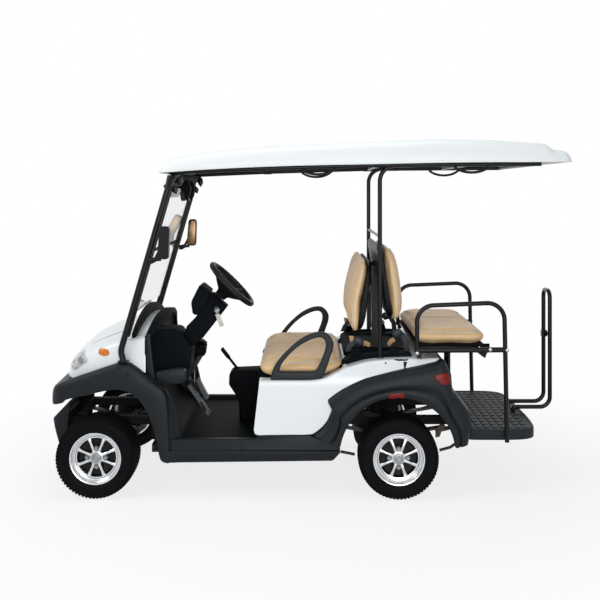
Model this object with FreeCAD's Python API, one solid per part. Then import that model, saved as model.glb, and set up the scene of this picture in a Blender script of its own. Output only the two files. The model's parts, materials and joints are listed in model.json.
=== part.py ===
"""Four-seat golf cart with a rear-facing flip seat: one STEP file per piece.

Millimetres. +X is forward, +Y is the driver's left, +Z is up. The origin is on the
ground, at the middle of the overall length and width. Pieces of the front body are
placed from the front axle (fx) and pieces of the rear body from the rear axle (rx).
"""
import FreeCAD, Part
import math
import os

V = FreeCAD.Vector

# ---- driving dimensions ------------------------------------------------------
WHEELBASE = 1670.0
NOSE_OVERHANG = 308.0        # chin guard ahead of the front axle
TAIL_OVERHANG = 980.0        # grab bar behind the rear axle
BODY_HALF = 560.0            # side panels, from the centre plane
FLARE_HALF = BODY_HALF + 40.0        # rear arches, from the centre plane
FRONT_HALF = BODY_HALF - 12.0        # front fascia and sills, from the centre plane
FLOOR_HALF = FRONT_HALF - 60.0       # floor between the sills
PANEL = 6.0                  # moulded body panel
FIT = 0.3                    # gap between two pieces that are seated on each other
TYRE_R = 223.0
TYRE_WIDTH = 200.0
RIM_R = 140.0
FRONT_TRACK = 940.0
REAR_TRACK = 965.0
FLOOR_Z = 300.0              # top of the floor
SILL_TOP = 325.0
SILL_BOTTOM = 197.0
SEAT_BASE_Z = 652.0          # where the front seat lid lies
FLOOR_SKIN = 14.0            # floor and toe board
TUBE_R = 12.7                # one inch tube
POST_R = 17.0
POST_Y = FRONT_HALF - 21.0   # windscreen post, from the centre plane
HEADER_Z = 1742.0            # bar between the tops of the windscreen posts
HEADER_R = 15.0
SEAT_HALF = BODY_HALF - 60.0         # front seat
BACK_HALF = SEAT_HALF - 70.0         # seat backs
STRUT_Y = BACK_HALF + 16.0   # rear struts, from the centre plane
STRUT_X = 95.0               # rear struts, ahead of the rear axle
RAIL_Y = BODY_HALF - 50.0    # rear arm rails, from the centre plane
RAIL_OUT = BODY_HALF - 70.0  # roof side rails, from the centre plane

LENGTH = NOSE_OVERHANG + WHEELBASE + TAIL_OVERHANG
FRONT_AXLE = LENGTH / 2 - NOSE_OVERHANG
REAR_AXLE = FRONT_AXLE - WHEELBASE


def fx(ahead):
    """An X place, measured forward from the front axle."""
    return FRONT_AXLE + ahead


def rx(ahead):
    """An X place, measured forward from the rear axle."""
    return REAR_AXLE + ahead


# ---- shape helpers -----------------------------------------------------------
ROUND_SHARE = 0.47           # a corner's rounding takes at most this share of a side


def rounded_wire(corners, place):
    """A closed wire through corners (u, v, radius); place turns (u, v) into a point."""
    count = len(corners)
    runs = [(V(*corners[(i + 1) % count][:2], 0) - V(*corners[i][:2], 0)) for i in range(count)]
    ends = []
    arcs = []
    for i, (u, v, radius) in enumerate(corners):
        here = V(u, v, 0)
        back = (runs[i - 1] * -1).normalize()
        ahead = V(runs[i]).normalize()
        half_turn = back.getAngle(ahead) / 2
        most = ROUND_SHARE * min(runs[i - 1].Length, runs[i].Length)
        reach = min(radius / math.tan(half_turn), most)
        ends.append((here + back * reach, here + ahead * reach))
        arc = None
        if reach > 0:
            bend = reach * math.tan(half_turn)
            centre = here + (back + ahead).normalize() * (bend / math.sin(half_turn))
            arc = centre + (here - centre).normalize() * bend
        arcs.append(arc)
    edges = []
    for i in range(count):
        start, end = ends[i]
        if arcs[i] is not None:
            edges.append(Part.Arc(place(start), place(arcs[i]), place(end)).toShape())
        following = ends[(i + 1) % count][0]
        edges.append(Part.LineSegment(place(end), place(following)).toShape())
    return Part.Wire(edges)


def side_prism(corners, y0, y1):
    """A side outline of (x, z) or (x, z, radius) corners, extruded from y0 to y1."""
    full = [(c[0], c[1], c[2] if len(c) > 2 else 0.0) for c in corners]
    wire = rounded_wire(full, lambda p: V(p.x, y0, p.y))
    return Part.Face(wire).extrude(V(0, y1 - y0, 0))


def plan_prism(corners, z0, z1):
    """A plan outline of (x, y) or (x, y, radius) corners, extruded from z0 to z1."""
    full = [(c[0], c[1], c[2] if len(c) > 2 else 0.0) for c in corners]
    wire = rounded_wire(full, lambda p: V(p.x, p.y, z0))
    return Part.Face(wire).extrude(V(0, 0, z1 - z0))


def end_prism(corners, x0, x1):
    """An end-view outline of (y, z) or (y, z, radius) corners, extruded from x0 to x1."""
    full = [(c[0], c[1], c[2] if len(c) > 2 else 0.0) for c in corners]
    wire = rounded_wire(full, lambda p: V(x0, p.x, p.y))
    return Part.Face(wire).extrude(V(x1 - x0, 0, 0))


def inset(corners, wall):
    """The outline moved inward by wall, its radii kept as far as they fit."""
    count = len(corners)
    area = sum(
        corners[i - 1][0] * corners[i][1] - corners[i][0] * corners[i - 1][1]
        for i in range(count)
    )
    inward = 1.0 if area > 0 else -1.0
    moved = []
    for i in range(count):
        here = V(*corners[i][:2], 0)
        d1 = (here - V(*corners[i - 1][:2], 0)).normalize()
        d2 = (V(*corners[(i + 1) % count][:2], 0) - here).normalize()
        n1 = V(-d1.y, d1.x, 0) * inward
        n2 = V(-d2.y, d2.x, 0) * inward
        shift = (n1 + n2) * (wall / (1 + n1.dot(n2)))
        point = here + shift
        radius = corners[i][2] if len(corners[i]) > 2 else 0.0
        turns_in = (d1.x * d2.y - d1.y * d2.x) * inward > 0
        if radius:
            radius = max(radius - wall, 0.5) if turns_in else radius + wall
        moved.append((point.x, point.y, radius))
    return moved


def box(x0, x1, y0, y1, z0, z1):
    return Part.makeBox(x1 - x0, y1 - y0, z1 - z0, V(x0, y0, z0))


def rod(a, b, radius):
    """A round bar from point a to point b."""
    a, b = V(*a), V(*b)
    return Part.makeCylinder(radius, (b - a).Length, a, b - a)


def bent_rod(points, radius, bend):
    """A round bar through points, its corners bent at one radius, or at one radius each."""
    p = [V(*q) for q in points]
    bends = bend if isinstance(bend, (list, tuple)) else [bend] * (len(p) - 2)
    edges = []
    start = p[0]
    for i in range(1, len(p) - 1):
        back = (p[i - 1] - p[i]).normalize()
        ahead = (p[i + 1] - p[i]).normalize()
        turn = back.getAngle(ahead)
        reach = bends[i - 1] / math.tan(turn / 2)
        a = p[i] + back * reach
        b = p[i] + ahead * reach
        centre = p[i] + (back + ahead).normalize() * (bends[i - 1] / math.sin(turn / 2))
        near = centre + (p[i] - centre).normalize() * bends[i - 1]
        edges.append(Part.LineSegment(start, a).toShape())
        edges.append(Part.Arc(a, near, b).toShape())
        start = b
    edges.append(Part.LineSegment(start, p[-1]).toShape())
    path = Part.Wire(edges)
    ring = Part.Wire(Part.Circle(p[0], p[1] - p[0], radius).toShape())
    return path.makePipeShell([ring], True, False)


def mirrored(shape):
    return shape.mirror(V(0, 0, 0), V(0, 1, 0))


def both_sides(shape):
    return [shape, mirrored(shape)]


def fused(shapes):
    whole = shapes[0]
    if len(shapes) > 1:
        whole = whole.fuse(shapes[1:])
    return whole.removeSplitter()


def turned_about_y(profile):
    """A closed (radius, y) outline turned about the Y axis through the origin."""
    wire = Part.makePolygon([V(r, y, 0) for r, y in profile + profile[:1]])
    return Part.Face(wire).revolve(V(0, 0, 0), V(0, 1, 0), 360)


def arch_section(x, half, shoulder, crown, bottom):
    """A closed section at x: straight sides and an arched top."""
    low_left = V(x, half, bottom)
    high_left = V(x, half, shoulder)
    high_right = V(x, -half, shoulder)
    low_right = V(x, -half, bottom)
    return Part.Wire([
        Part.LineSegment(low_left, high_left).toShape(),
        Part.Arc(high_left, V(x, 0, crown), high_right).toShape(),
        Part.LineSegment(high_right, low_right).toShape(),
        Part.LineSegment(low_right, low_left).toShape(),
    ])


# ---- wheels ------------------------------------------------------------------
FRONT_WHEEL_Y = FRONT_TRACK / 2
REAR_WHEEL_Y = REAR_TRACK / 2
RIM_BARREL_R = RIM_R - 12.0
RIM_INSIDE_R = RIM_BARREL_R - 6.0
RIM_FACE = TYRE_WIDTH / 2 - 12.0     # outer lip, from the wheel's middle
SPOKE_COUNT = 8
SPOKE_FACE = RIM_FACE - 22.0         # spokes sit inside the lip
HUB_R = 42.0
SPINDLE_R = 15.0             # wheel spindle, front and rear
RUNNING_GAP = 0.05           # radial clearance of a pin in its bore
HUB_BACK = SPOKE_FACE - 34.0
SPINDLE_IN = 34.0            # length of spindle inside the hub
BEAD_R = RIM_R - 10.0        # where the tyre sits on the rim
LIP_WIDTH = 5.0


def tyre_body():
    """Closed tyre section turned about its axle, its beads between the rim's lips."""
    half = TYRE_WIDTH / 2
    bead = BEAD_R + FIT
    seat = RIM_FACE - LIP_WIDTH - FIT
    outline = [
        (bead, -seat, 0), (RIM_R + 3, -seat, 2), (RIM_R + 12, -half + 4, 8),
        (RIM_R + 45, -half, 20), (TYRE_R, -half + 14, 22), (TYRE_R, half - 14, 22),
        (RIM_R + 45, half, 20), (RIM_R + 12, half - 4, 8), (RIM_R + 3, seat, 2),
        (bead, seat, 0),
    ]
    wire = rounded_wire(outline, lambda p: V(p.x, p.y, 0))
    return Part.Face(wire).revolve(V(0, 0, 0), V(0, 1, 0), 360)


def rim_body():
    """Outer side at +Y: barrel with two lips, eight spokes and a hub."""
    lip = RIM_FACE
    inner = RIM_FACE - LIP_WIDTH
    barrel = turned_about_y([
        (RIM_INSIDE_R, -lip), (RIM_R - 1, -lip), (RIM_R - 1, -inner), (BEAD_R, -inner),
        (BEAD_R, -lip + 30), (RIM_BARREL_R - 3, -lip + 40), (RIM_BARREL_R - 3, lip - 40),
        (BEAD_R, lip - 30), (BEAD_R, inner), (RIM_R - 1, inner), (RIM_R - 1, lip),
        (RIM_INSIDE_R, lip),
    ])
    bore_r = SPINDLE_R + RUNNING_GAP
    bore_end = HUB_BACK + SPINDLE_IN + 2
    hub = turned_about_y([
        (0.0, bore_end), (bore_r, bore_end), (bore_r, HUB_BACK), (HUB_R + 8, HUB_BACK),
        (HUB_R, SPOKE_FACE + 2), (24.0, SPOKE_FACE + 10), (0.0, SPOKE_FACE + 14),
    ])
    parts = [barrel, hub]
    for i in range(SPOKE_COUNT):
        spoke = box(HUB_R - 8, RIM_INSIDE_R + 2, SPOKE_FACE - 18, SPOKE_FACE, -7, 7)
        spoke.rotate(V(0, 0, 0), V(0, 1, 0), 90 + i * 360.0 / SPOKE_COUNT)
        parts.append(spoke)
    return fused(parts)


def wheel_nodes():
    nodes = {}
    places = {
        "front_left": (FRONT_AXLE, FRONT_WHEEL_Y),
        "front_right": (FRONT_AXLE, -FRONT_WHEEL_Y),
        "rear_left": (REAR_AXLE, REAR_WHEEL_Y),
        "rear_right": (REAR_AXLE, -REAR_WHEEL_Y),
    }
    for name, (x, y) in places.items():
        for kind, shape in (("tyre", tyre_body()), ("wheel", rim_body())):
            if y < 0:
                shape = mirrored(shape)
            shape.translate(V(x, y, TYRE_R))
            nodes[f"{name}_{kind}"] = [shape]
    return nodes


# ---- running gear ------------------------------------------------------------
KINGPIN_Y = 372.0
KINGPIN_R = 12.0
HUB_GAP = 2.0                # between the axle's shoulder and the hub
AXLE_R = 24.0
STUB_END = HUB_BACK - HUB_GAP        # shoulder of the axle, from the wheel's middle
SPINDLE_END = HUB_BACK + SPINDLE_IN
KNUCKLE_HALF_Z = 34.0
FORK_GAP = 1.0


def knuckle():
    """Steering knuckle of the left side, with its stub axle and steering arm."""
    post = Part.makeCylinder(26, 2 * KNUCKLE_HALF_Z, V(FRONT_AXLE, KINGPIN_Y, TYRE_R - KNUCKLE_HALF_Z))
    stub = rod((FRONT_AXLE, KINGPIN_Y, TYRE_R),
               (FRONT_AXLE, FRONT_WHEEL_Y + STUB_END, TYRE_R), AXLE_R)
    spindle = rod((FRONT_AXLE, KINGPIN_Y, TYRE_R),
                  (FRONT_AXLE, FRONT_WHEEL_Y + SPINDLE_END, TYRE_R), SPINDLE_R)
    drum = rod((FRONT_AXLE, KINGPIN_Y + 30, TYRE_R), (FRONT_AXLE, KINGPIN_Y + 66, TYRE_R), 72)
    arm = box(fx(-112), fx(-10), KINGPIN_Y - 20, KINGPIN_Y + 2, TYRE_R - 30, TYRE_R - 18)
    bore = Part.makeCylinder(KINGPIN_R + RUNNING_GAP, 4 * KNUCKLE_HALF_Z,
                             V(FRONT_AXLE, KINGPIN_Y, TYRE_R - 2 * KNUCKLE_HALF_Z))
    return fused([post, stub, spindle, drum, arm]).cut(bore)


def front_axle():
    """Beam axle with a fork and kingpin at each end."""
    fork_z = KNUCKLE_HALF_Z + FORK_GAP
    fork = []
    for low in (TYRE_R - fork_z - 14, TYRE_R + fork_z):
        fork.append(box(fx(-22), fx(22), KINGPIN_Y - 70, KINGPIN_Y + 16, low, low + 14))
    web = box(fx(-22), fx(22), KINGPIN_Y - 70, KINGPIN_Y - 48,
              TYRE_R - fork_z - 14, TYRE_R + fork_z + 14)
    pin = Part.makeCylinder(KINGPIN_R, 2 * fork_z + 28,
                            V(FRONT_AXLE, KINGPIN_Y, TYRE_R - fork_z - 14))
    ends = fused(fork + [web, pin])
    beam = rod((FRONT_AXLE, -KINGPIN_Y + 50, TYRE_R), (FRONT_AXLE, KINGPIN_Y - 50, TYRE_R), 24)
    return [fused([ends, mirrored(ends), beam])]


SPRING_Y = 225.0
SPRING_W = 45.0
FRAME_RAIL_Y = 225.0
FRAME_RAIL_Z = 330.0
FRAME_RAIL = 45.0


def leaf_spring(x, beam_r, reach):
    """Leaf pack clamped over an axle at x, its ends hung from the frame rail."""
    top = TYRE_R + beam_r
    half = SPRING_W / 2
    leaves = side_prism([
        (x - reach, FRAME_RAIL_Z - 25, 4), (x, top + 1, 90), (x + reach, FRAME_RAIL_Z - 25, 4),
        (x + reach, FRAME_RAIL_Z - 13, 4), (x, top + 16, 90), (x - reach, FRAME_RAIL_Z - 13, 4),
    ], SPRING_Y - half, SPRING_Y + half)
    clamp = box(x - 30, x + 30, SPRING_Y - half - 4, SPRING_Y + half + 4, top, top + 26)
    parts = [leaves, clamp]
    for end in (-1, 1):
        px = x + end * (reach - 10)
        parts.append(box(px - 12, px + 12, SPRING_Y - half, SPRING_Y + half,
                         FRAME_RAIL_Z - 25, FRAME_RAIL_Z))
    return fused(parts)


def springs():
    front = leaf_spring(FRONT_AXLE, 24.0, 215.0)
    rear = leaf_spring(REAR_AXLE, REAR_TUBE_R, 300.0)
    return both_sides(front) + both_sides(rear)


REAR_TUBE_R = 30.0
MOTOR_R = 85.0


def rear_axle():
    """Rear axle tube with its differential case and drive motor."""
    tube = rod((REAR_AXLE, -REAR_WHEEL_Y - STUB_END, TYRE_R),
               (REAR_AXLE, REAR_WHEEL_Y + STUB_END, TYRE_R), AXLE_R)
    spindles = rod((REAR_AXLE, -REAR_WHEEL_Y - SPINDLE_END, TYRE_R),
                   (REAR_AXLE, REAR_WHEEL_Y + SPINDLE_END, TYRE_R), SPINDLE_R)
    casing = rod((REAR_AXLE, -REAR_WHEEL_Y + 70, TYRE_R),
                 (REAR_AXLE, REAR_WHEEL_Y - 70, TYRE_R), REAR_TUBE_R)
    case = Part.makeSphere(95, V(REAR_AXLE, -60, TYRE_R))
    gear = rod((REAR_AXLE, -60, TYRE_R), (rx(140), -60, TYRE_R + 20), 60)
    motor = rod((rx(140), -60, TYRE_R + 20), (rx(140), 150, TYRE_R + 20), MOTOR_R)
    drums = [rod((REAR_AXLE, s * (REAR_WHEEL_Y - 95), TYRE_R),
                 (REAR_AXLE, s * (REAR_WHEEL_Y - 40), TYRE_R), 80) for s in (-1, 1)]
    return [fused([tube, spindles, casing, case, gear, motor] + drums)]


FRAME_LOW = FLOOR_Z - FLOOR_SKIN - FRAME_RAIL      # underside of the rails under the floor
FRONT_RISER = -300.0         # behind the front wheels at full lock
REAR_RISER = 655.0           # ahead of the rear axle
FRAME_TAIL = -372.0
FRAME_NOSE = 232.0
CROSS_HALF = FLOOR_HALF      # cross members reach the sills


def chassis():
    """Two long rails that drop under the floor, with cross members between them."""
    z0, z1 = FRAME_RAIL_Z, FRAME_RAIL_Z + FRAME_RAIL
    low_top = FRAME_LOW + FRAME_RAIL
    front, rear, tail, nose = fx(FRONT_RISER), rx(REAR_RISER), rx(FRAME_TAIL), fx(FRAME_NOSE)
    bars = []
    for side in (-1, 1):
        y0 = side * FRAME_RAIL_Y - FRAME_RAIL / 2
        y1 = y0 + FRAME_RAIL
        bars.append(box(front, nose, y0, y1, z0, z1))
        bars.append(box(tail, rear + FRAME_RAIL, y0, y1, z0, z1))
        bars.append(box(rear, front + FRAME_RAIL, y0, y1, FRAME_LOW, low_top))
        bars.append(box(front, front + FRAME_RAIL, y0, y1, FRAME_LOW, z1))
        bars.append(box(rear, rear + FRAME_RAIL, y0, y1, FRAME_LOW, z1))
    bars.append(box(nose - FRAME_RAIL, nose, -FRAME_RAIL_Y, FRAME_RAIL_Y, z0, z1))
    bars.append(box(front - FRAME_RAIL, front, -CROSS_HALF, CROSS_HALF, FRAME_LOW, low_top))
    bars.append(box(rear, rear + FRAME_RAIL, -CROSS_HALF, CROSS_HALF, FRAME_LOW, low_top))
    bars.append(box(tail, tail + FRAME_RAIL, -CROSS_HALF, CROSS_HALF, z0, z1))
    bars.append(box(rx(310), rx(310) + FRAME_RAIL, -FRAME_RAIL_Y, FRAME_RAIL_Y, z0, z1))
    return [fused(bars)]


RACK_X = -104.0              # rack, ahead of the front axle
RACK_Z = TYRE_R - 24.0
TIE_ROD_R = 9.0
TIE_ROD_END = 340.0          # at rest 12 mm short of the knuckle arms
RACK_HALF = 190.0


def steering_rack():
    """Rack housing behind the front axle, hung from the frame rails."""
    x = fx(RACK_X)
    z = RACK_Z
    housing = rod((x, -RACK_HALF, z), (x, RACK_HALF, z), 22)
    legs = [box(x - 12, x + 12, s * 150 - 14, s * 150 + 14, z + 10, FRAME_RAIL_Z)
            for s in (-1, 1)]
    bridge = box(x - 12, x + 12, -FRAME_RAIL_Y - 20, FRAME_RAIL_Y + 20,
                 FRAME_RAIL_Z - 12, FRAME_RAIL_Z)
    bore = rod((x, -RACK_HALF - 1, z), (x, RACK_HALF + 1, z), TIE_ROD_R + RUNNING_GAP)
    return [fused([housing, bridge] + legs).cut(bore)]


def tie_rods():
    """Rack bar and tie rods, one sliding bar that ends beside the knuckle arms."""
    x = fx(RACK_X)
    bar = rod((x, -TIE_ROD_END, RACK_Z), (x, TIE_ROD_END, RACK_Z), TIE_ROD_R)
    ends = [rod((x, s * (TIE_ROD_END - 30), RACK_Z), (x, s * TIE_ROD_END, RACK_Z), 13)
            for s in (-1, 1)]
    return [fused([bar] + ends)]


# ---- front body --------------------------------------------------------------
# Side outline of the front fascia: ahead of the front axle, height, corner radius.
FASCIA_SIDE = [
    (-404, 192, 20), (-352, 198, 25), (-325, 330, 300), (-150, 612, 180), (187, 540, 0),
    (236, 500, 10), (320, 506, 0), (320, 598, 0), (212, 634, 60), (-160, 757, 60),
    (-286, 664, 30), (-378, 600, 80), (-425, 520, 100), (-478, 325, 0), (-404, 325, 0),
]
FASCIA_TOP = FASCIA_SIDE[7:11]       # the line that the cowl and the posts stand on
FASCIA_NOSE = 300.0
FASCIA_CORNER = 258.0
FASCIA_FLANGE = 58.0         # width of the flange on top of the fascia
KICK_START = -404.0          # where the rear edge starts to turn inward
KICK_END = -478.0
KICK_HALF = FLOOR_HALF + 4.0


def fascia_plan(grow=0.0):
    """Plan outline of the front fascia, grown outward."""
    half = FRONT_HALF + grow
    nose = FASCIA_NOSE + grow
    kick = KICK_HALF + grow
    side = [(fx(nose - 18), 250, 160), (fx(FASCIA_CORNER) + grow, half, 60),
            (fx(KICK_START), half, 40), (fx(KICK_END - 1), kick, 0)]
    far = [(x, -y, r) for x, y, r in reversed(side)]
    return far + [(fx(nose), 0, 900)] + side


def front_fascia():
    """Black lower nose with both front arches; a flange on top carries the posts."""
    side = [(fx(a), z, r) for a, z, r in FASCIA_SIDE]
    band = side_prism(side, -700, 700)
    outer = plan_prism(fascia_plan(), 150, 900)
    walls = outer.cut(plan_prism(fascia_plan(-PANEL), 140, 950)).common(band)
    rim = band.cut(side_prism([(x, z - PANEL, r) for x, z, r in side], -710, 710))
    flange = outer.cut(plan_prism(fascia_plan(-FASCIA_FLANGE), 140, 950)).common(rim)
    top = flange.common(box(fx(-300), fx(320), -700, 700, 580, 900))
    return [fused([walls, top])]


def under_flange(lift):
    """Everything below the fascia's upper line, raised by lift."""
    line = [(fx(a), z + lift, r) for a, z, r in FASCIA_TOP]
    return side_prism([(fx(-450), 300, 0), (fx(350), 300, 0), (fx(350), line[0][1], 0)] + line
                      + [(fx(-450), line[-1][1] - 20, 0)], -700, 700)


# Cowl sections: ahead of the front axle, inset from the fascia, shoulder, crown, bottom.
COWL_REAR = -262.0           # where the cowl ends and the dash starts
COWL_SECTIONS = [
    (268, 438, 590, 640, 560),
    (222, 308, 655, 724, 560),
    (170, 178, 715, 776, 560),
    (105, 108, 775, 836, 590),
    (0, 70, 818, 888, 590),
    (-150, 51, 866, 938, 590),
    (COWL_REAR, 44, 888, 955, 590),
]


OPEN_END = 60.0              # how far a hollow or a cutter runs past an open end


def cowl_loft(shrink):
    """The cowl's outer shape made smaller all round, or larger where shrink is negative."""
    sections = []
    last = len(COWL_SECTIONS) - 1
    for i, (ahead, inset_y, shoulder, crown, bottom) in enumerate(COWL_SECTIONS):
        x = fx(ahead)
        half = FRONT_HALF - inset_y
        if i == 0:
            x -= shrink
        if i == last and shrink > 0:
            x -= OPEN_END
        low = bottom - (OPEN_END if shrink else 0.0)
        sections.append(arch_section(x, half - shrink, shoulder - shrink, crown - shrink, low))
    return Part.makeLoft(sections, True, True)


def front_cowl():
    """White hollow nose that stands on the fascia, open below and behind."""
    return [cowl_loft(0.0).cut(cowl_loft(PANEL)).cut(under_flange(FIT))]


CHIN_HALF = 312.0


def chin_guard():
    """Black guard under the nose, in front of the axle."""
    tip = fx(NOSE_OVERHANG)
    outer = [(fx(205), 486), (tip, 378, 10), (fx(262), 215, 10), (fx(235), 205)]
    wall = [(fx(205), 486), (tip, 378, 10), (fx(262), 215, 8), (fx(235), 205, 0),
            (fx(233), 212, 0), (fx(255), 222, 4), (tip - 9, 376, 6), (fx(200), 480, 0)]
    parts = [side_prism(wall, -CHIN_HALF, CHIN_HALF)]
    for side in (-1, 1):
        parts.append(side_prism(outer, side * CHIN_HALF, side * (CHIN_HALF - PANEL)))
        y = side * FRAME_RAIL_Y
        parts.append(box(fx(FRAME_NOSE), fx(296), y - 20, y + 20, FRAME_RAIL_Z + 5, FRAME_RAIL_Z + 17))
    plan = plan_prism([(fx(150), -CHIN_HALF), (tip, -CHIN_HALF, 30), (tip, CHIN_HALF, 30),
                       (fx(150), CHIN_HALF)], 150, 550)
    return [fused(parts).common(plan)]


# Dash: ahead of the front axle.
DASH_FRONT = COWL_REAR
DASH_BROW = -342.0
DASH_BROW_END = -292.0       # the brow curves forward to this at both ends
DASH_HALF = FLOOR_HALF
DASH_BOTTOM = 640.0
TRAY_BOTTOM = 616.0


CUP_R = 36.0
CUP_X = -502.0
CUP_Y = -5.0


def dash_arch(x0, x1, drop, bottom):
    section = arch_section(x0, DASH_HALF - drop, 891 - drop, 968 - drop, bottom)
    return Part.Face(section).extrude(V(x1 - x0, 0, 0))


def dashboard():
    """Arched dash with a deep parcel recess, a steering boss and a low tray."""
    front, brow = fx(DASH_FRONT), fx(DASH_BROW)
    hood = dash_arch(brow, front, 0.0, DASH_BOTTOM)
    hood = hood.cut(dash_arch(brow - 1, front - 14, 30.0, DASH_BOTTOM))
    slope = side_prism([(fx(-298), 600), (brow - 20, 990), (brow - 200, 990), (brow - 200, 600)],
                       -600, 600)
    brow_plan = plan_prism([(front + 1, -600), (front + 1, 600), (fx(DASH_BROW_END) + 8, 600),
                            (brow, 0, 1800), (fx(DASH_BROW_END) + 8, -600)], 600, 1000)
    hood = hood.cut(slope).common(brow_plan)
    tray_y = DASH_HALF - 8
    tray_outer = side_prism([(fx(-268), 700), (fx(-268), TRAY_BOTTOM, 10), (fx(-490), TRAY_BOTTOM, 14),
                             (fx(-498), 690, 6), (fx(-300), 690)], -tray_y, tray_y)
    tray_inner = box(fx(-486), fx(-300), -tray_y + 10, tray_y - 10, 628, 800)
    boss = side_prism([(front - 10, DASH_BOTTOM), (front - 10, 905), (fx(-430), 905, 40),
                       (fx(-505), 800, 40), (fx(-490), DASH_BOTTOM)], 185, 375)
    stack = side_prism([(front - 10, DASH_BOTTOM), (front - 10, 860), (fx(-400), 860, 40),
                        (fx(-455), 700, 40), (fx(-455), DASH_BOTTOM)], -80, 185)
    tray_inner = tray_inner.cut(box(fx(-510), fx(-200), -80, 375, 600, 900))
    holder = side_prism([(fx(-440), 752), (fx(-548), 752, 8), (fx(-540), 690, 8), (fx(-440), 690)],
                        -55, 45)
    cup = Part.makeCylinder(CUP_R, 50, V(fx(CUP_X), CUP_Y, 706))
    return [fused([hood, tray_outer.cut(tray_inner), boss, stack, holder]).cut(cup)]


# ---- steering ----------------------------------------------------------------
WHEEL_CENTRE = (-728.0, 280.0, 1155.0)     # ahead of the front axle, Y, Z
STEER_TILT = 45.0                          # column above the horizontal
STEER_RIM_R = 158.0
STEER_GRIP_R = 13.0


def steer_point(along):
    """A point on the steering axis, along it from the wheel centre towards the dash."""
    a = math.radians(STEER_TILT)
    return V(fx(WHEEL_CENTRE[0]) + along * math.cos(a), WHEEL_CENTRE[1],
             WHEEL_CENTRE[2] - along * math.sin(a))


STEER_AXIS = (steer_point(1) - steer_point(0)).normalize()
SHAFT_R = 11.0
SHAFT_END = 170.0            # lower end of the shaft, along the axis from the wheel centre
COVER_START = 78.0           # where the column cover starts, along the axis
STEER_GAP = 2.0


def steering_wheel():
    rim = Part.makeTorus(STEER_RIM_R, STEER_GRIP_R, steer_point(0), STEER_AXIS)
    hub = Part.makeCone(30, 42, 46, steer_point(12), STEER_AXIS)
    neck = Part.makeCylinder(20, COVER_START - STEER_GAP - 56, steer_point(56), STEER_AXIS)
    shaft = Part.makeCylinder(SHAFT_R, SHAFT_END - 56, steer_point(56), STEER_AXIS)
    side = STEER_AXIS.cross(V(0, 1, 0))
    parts = [rim, hub, neck, shaft]
    for angle in (90, 210, 330):
        a = math.radians(angle)
        out = V(0, 1, 0) * math.cos(a) + side * math.sin(a)
        start = steer_point(32) + out * 20
        end = steer_point(2) + out * (STEER_RIM_R - 4)
        parts.append(Part.makeCylinder(9, (end - start).Length, start, end - start))
    return [fused(parts)]


def steering_column():
    """Column cover from the wheel to the dash boss, with the instrument pod on top."""
    y0, y1 = WHEEL_CENTRE[1] - 42, WHEEL_CENTRE[1] + 42
    cover = side_prism([
        (fx(-668), 1062, 6), (fx(-706), 1030, 8), (fx(-566), 850, 10), (fx(-508), 800, 0),
        (fx(-455), 870, 0), (fx(-470), 915, 20), (fx(-520), 965, 60), (fx(-600), 1105, 14),
        (fx(-628), 1105, 8),
    ], y0, y1)
    cut_back = Part.makeCylinder(120, 60, steer_point(COVER_START - 60), STEER_AXIS)
    bore = Part.makeCylinder(SHAFT_R + RUNNING_GAP, SHAFT_END + 2, steer_point(0), STEER_AXIS)
    pod = side_prism([
        (fx(-515), 960, 20), (fx(-500), 1060, 60), (fx(-552), 1164, 14), (fx(-610), 1118, 10),
        (fx(-590), 1050, 10),
    ], y0 - 48, y1 + 48)
    return [fused([cover, pod]).cut(cut_back).cut(bore)]


# Pedals: Y, pivot (ahead, height), lower edge of the plate (ahead, height), half width.
PEDALS = [(235.0, (-465, 600), (-568, 410), 34), (110.0, (-444, 600), (-545, 442), 26)]
PEDAL_PLATE = 60.0           # length of a pedal's plate
PEDAL_T = 12.0


def pedals():
    """Brake and throttle pedals on arms that hang below the dash."""
    pair = []
    for y, top, low, half in PEDALS:
        arm = rod((fx(top[0]), y, top[1]), (fx(low[0]), y, low[1]), 7)
        pivot = box(fx(top[0]) - 12, fx(top[0]) + 12, y - 14, y + 14, top[1] - 12,
                    TRAY_BOTTOM - FIT)
        run = math.hypot(low[0] - top[0], low[1] - top[1])
        ux, uz = (low[0] - top[0]) / run, (low[1] - top[1]) / run
        upper = (low[0] - ux * PEDAL_PLATE, low[1] - uz * PEDAL_PLATE)
        plate = side_prism([
            (fx(upper[0]), upper[1]), (fx(low[0]), low[1]),
            (fx(low[0] + uz * PEDAL_T), low[1] - ux * PEDAL_T),
            (fx(upper[0] + uz * PEDAL_T), upper[1] - ux * PEDAL_T)], y - half, y + half)
        pair.append(fused([arm, pivot, plate]))
    return pair


# ---- floor and sills ---------------------------------------------------------
SEAT_FRONT = 775.0           # front of the seat base, ahead of the rear axle


LID_HINGE = (784.0, 656.0)        # front seat hinge: ahead of the rear axle, height
LID_HINGE_Y = 300.0
LID_PIN_R = 4.0
LID_BARREL = 20.0                 # half length of the lid's barrel
LUG = 10.0                        # thickness of a hinge lug


def lid_hinge(side):
    """Pin and two lugs that carry the front seat, on the wall under it."""
    hx, hz = rx(LID_HINGE[0]), LID_HINGE[1]
    y = side * LID_HINGE_Y
    reach = LID_BARREL + 2 + LUG
    parts = [rod((hx, y - reach, hz), (hx, y + reach, hz), LID_PIN_R)]
    for y0 in (y - reach, y + reach - LUG):
        parts.append(rod((hx, y0, hz), (hx, y0 + LUG, hz), LID_PIN_R + 4))
        parts.append(box(rx(SEAT_FRONT) + FIT, hx + 4, y0, y0 + LUG, hz - 34, hz))
        parts.append(box(rx(SEAT_FRONT - 25), hx + 4, y0, y0 + LUG, hz - 34, hz - 14))
    return parts


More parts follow.
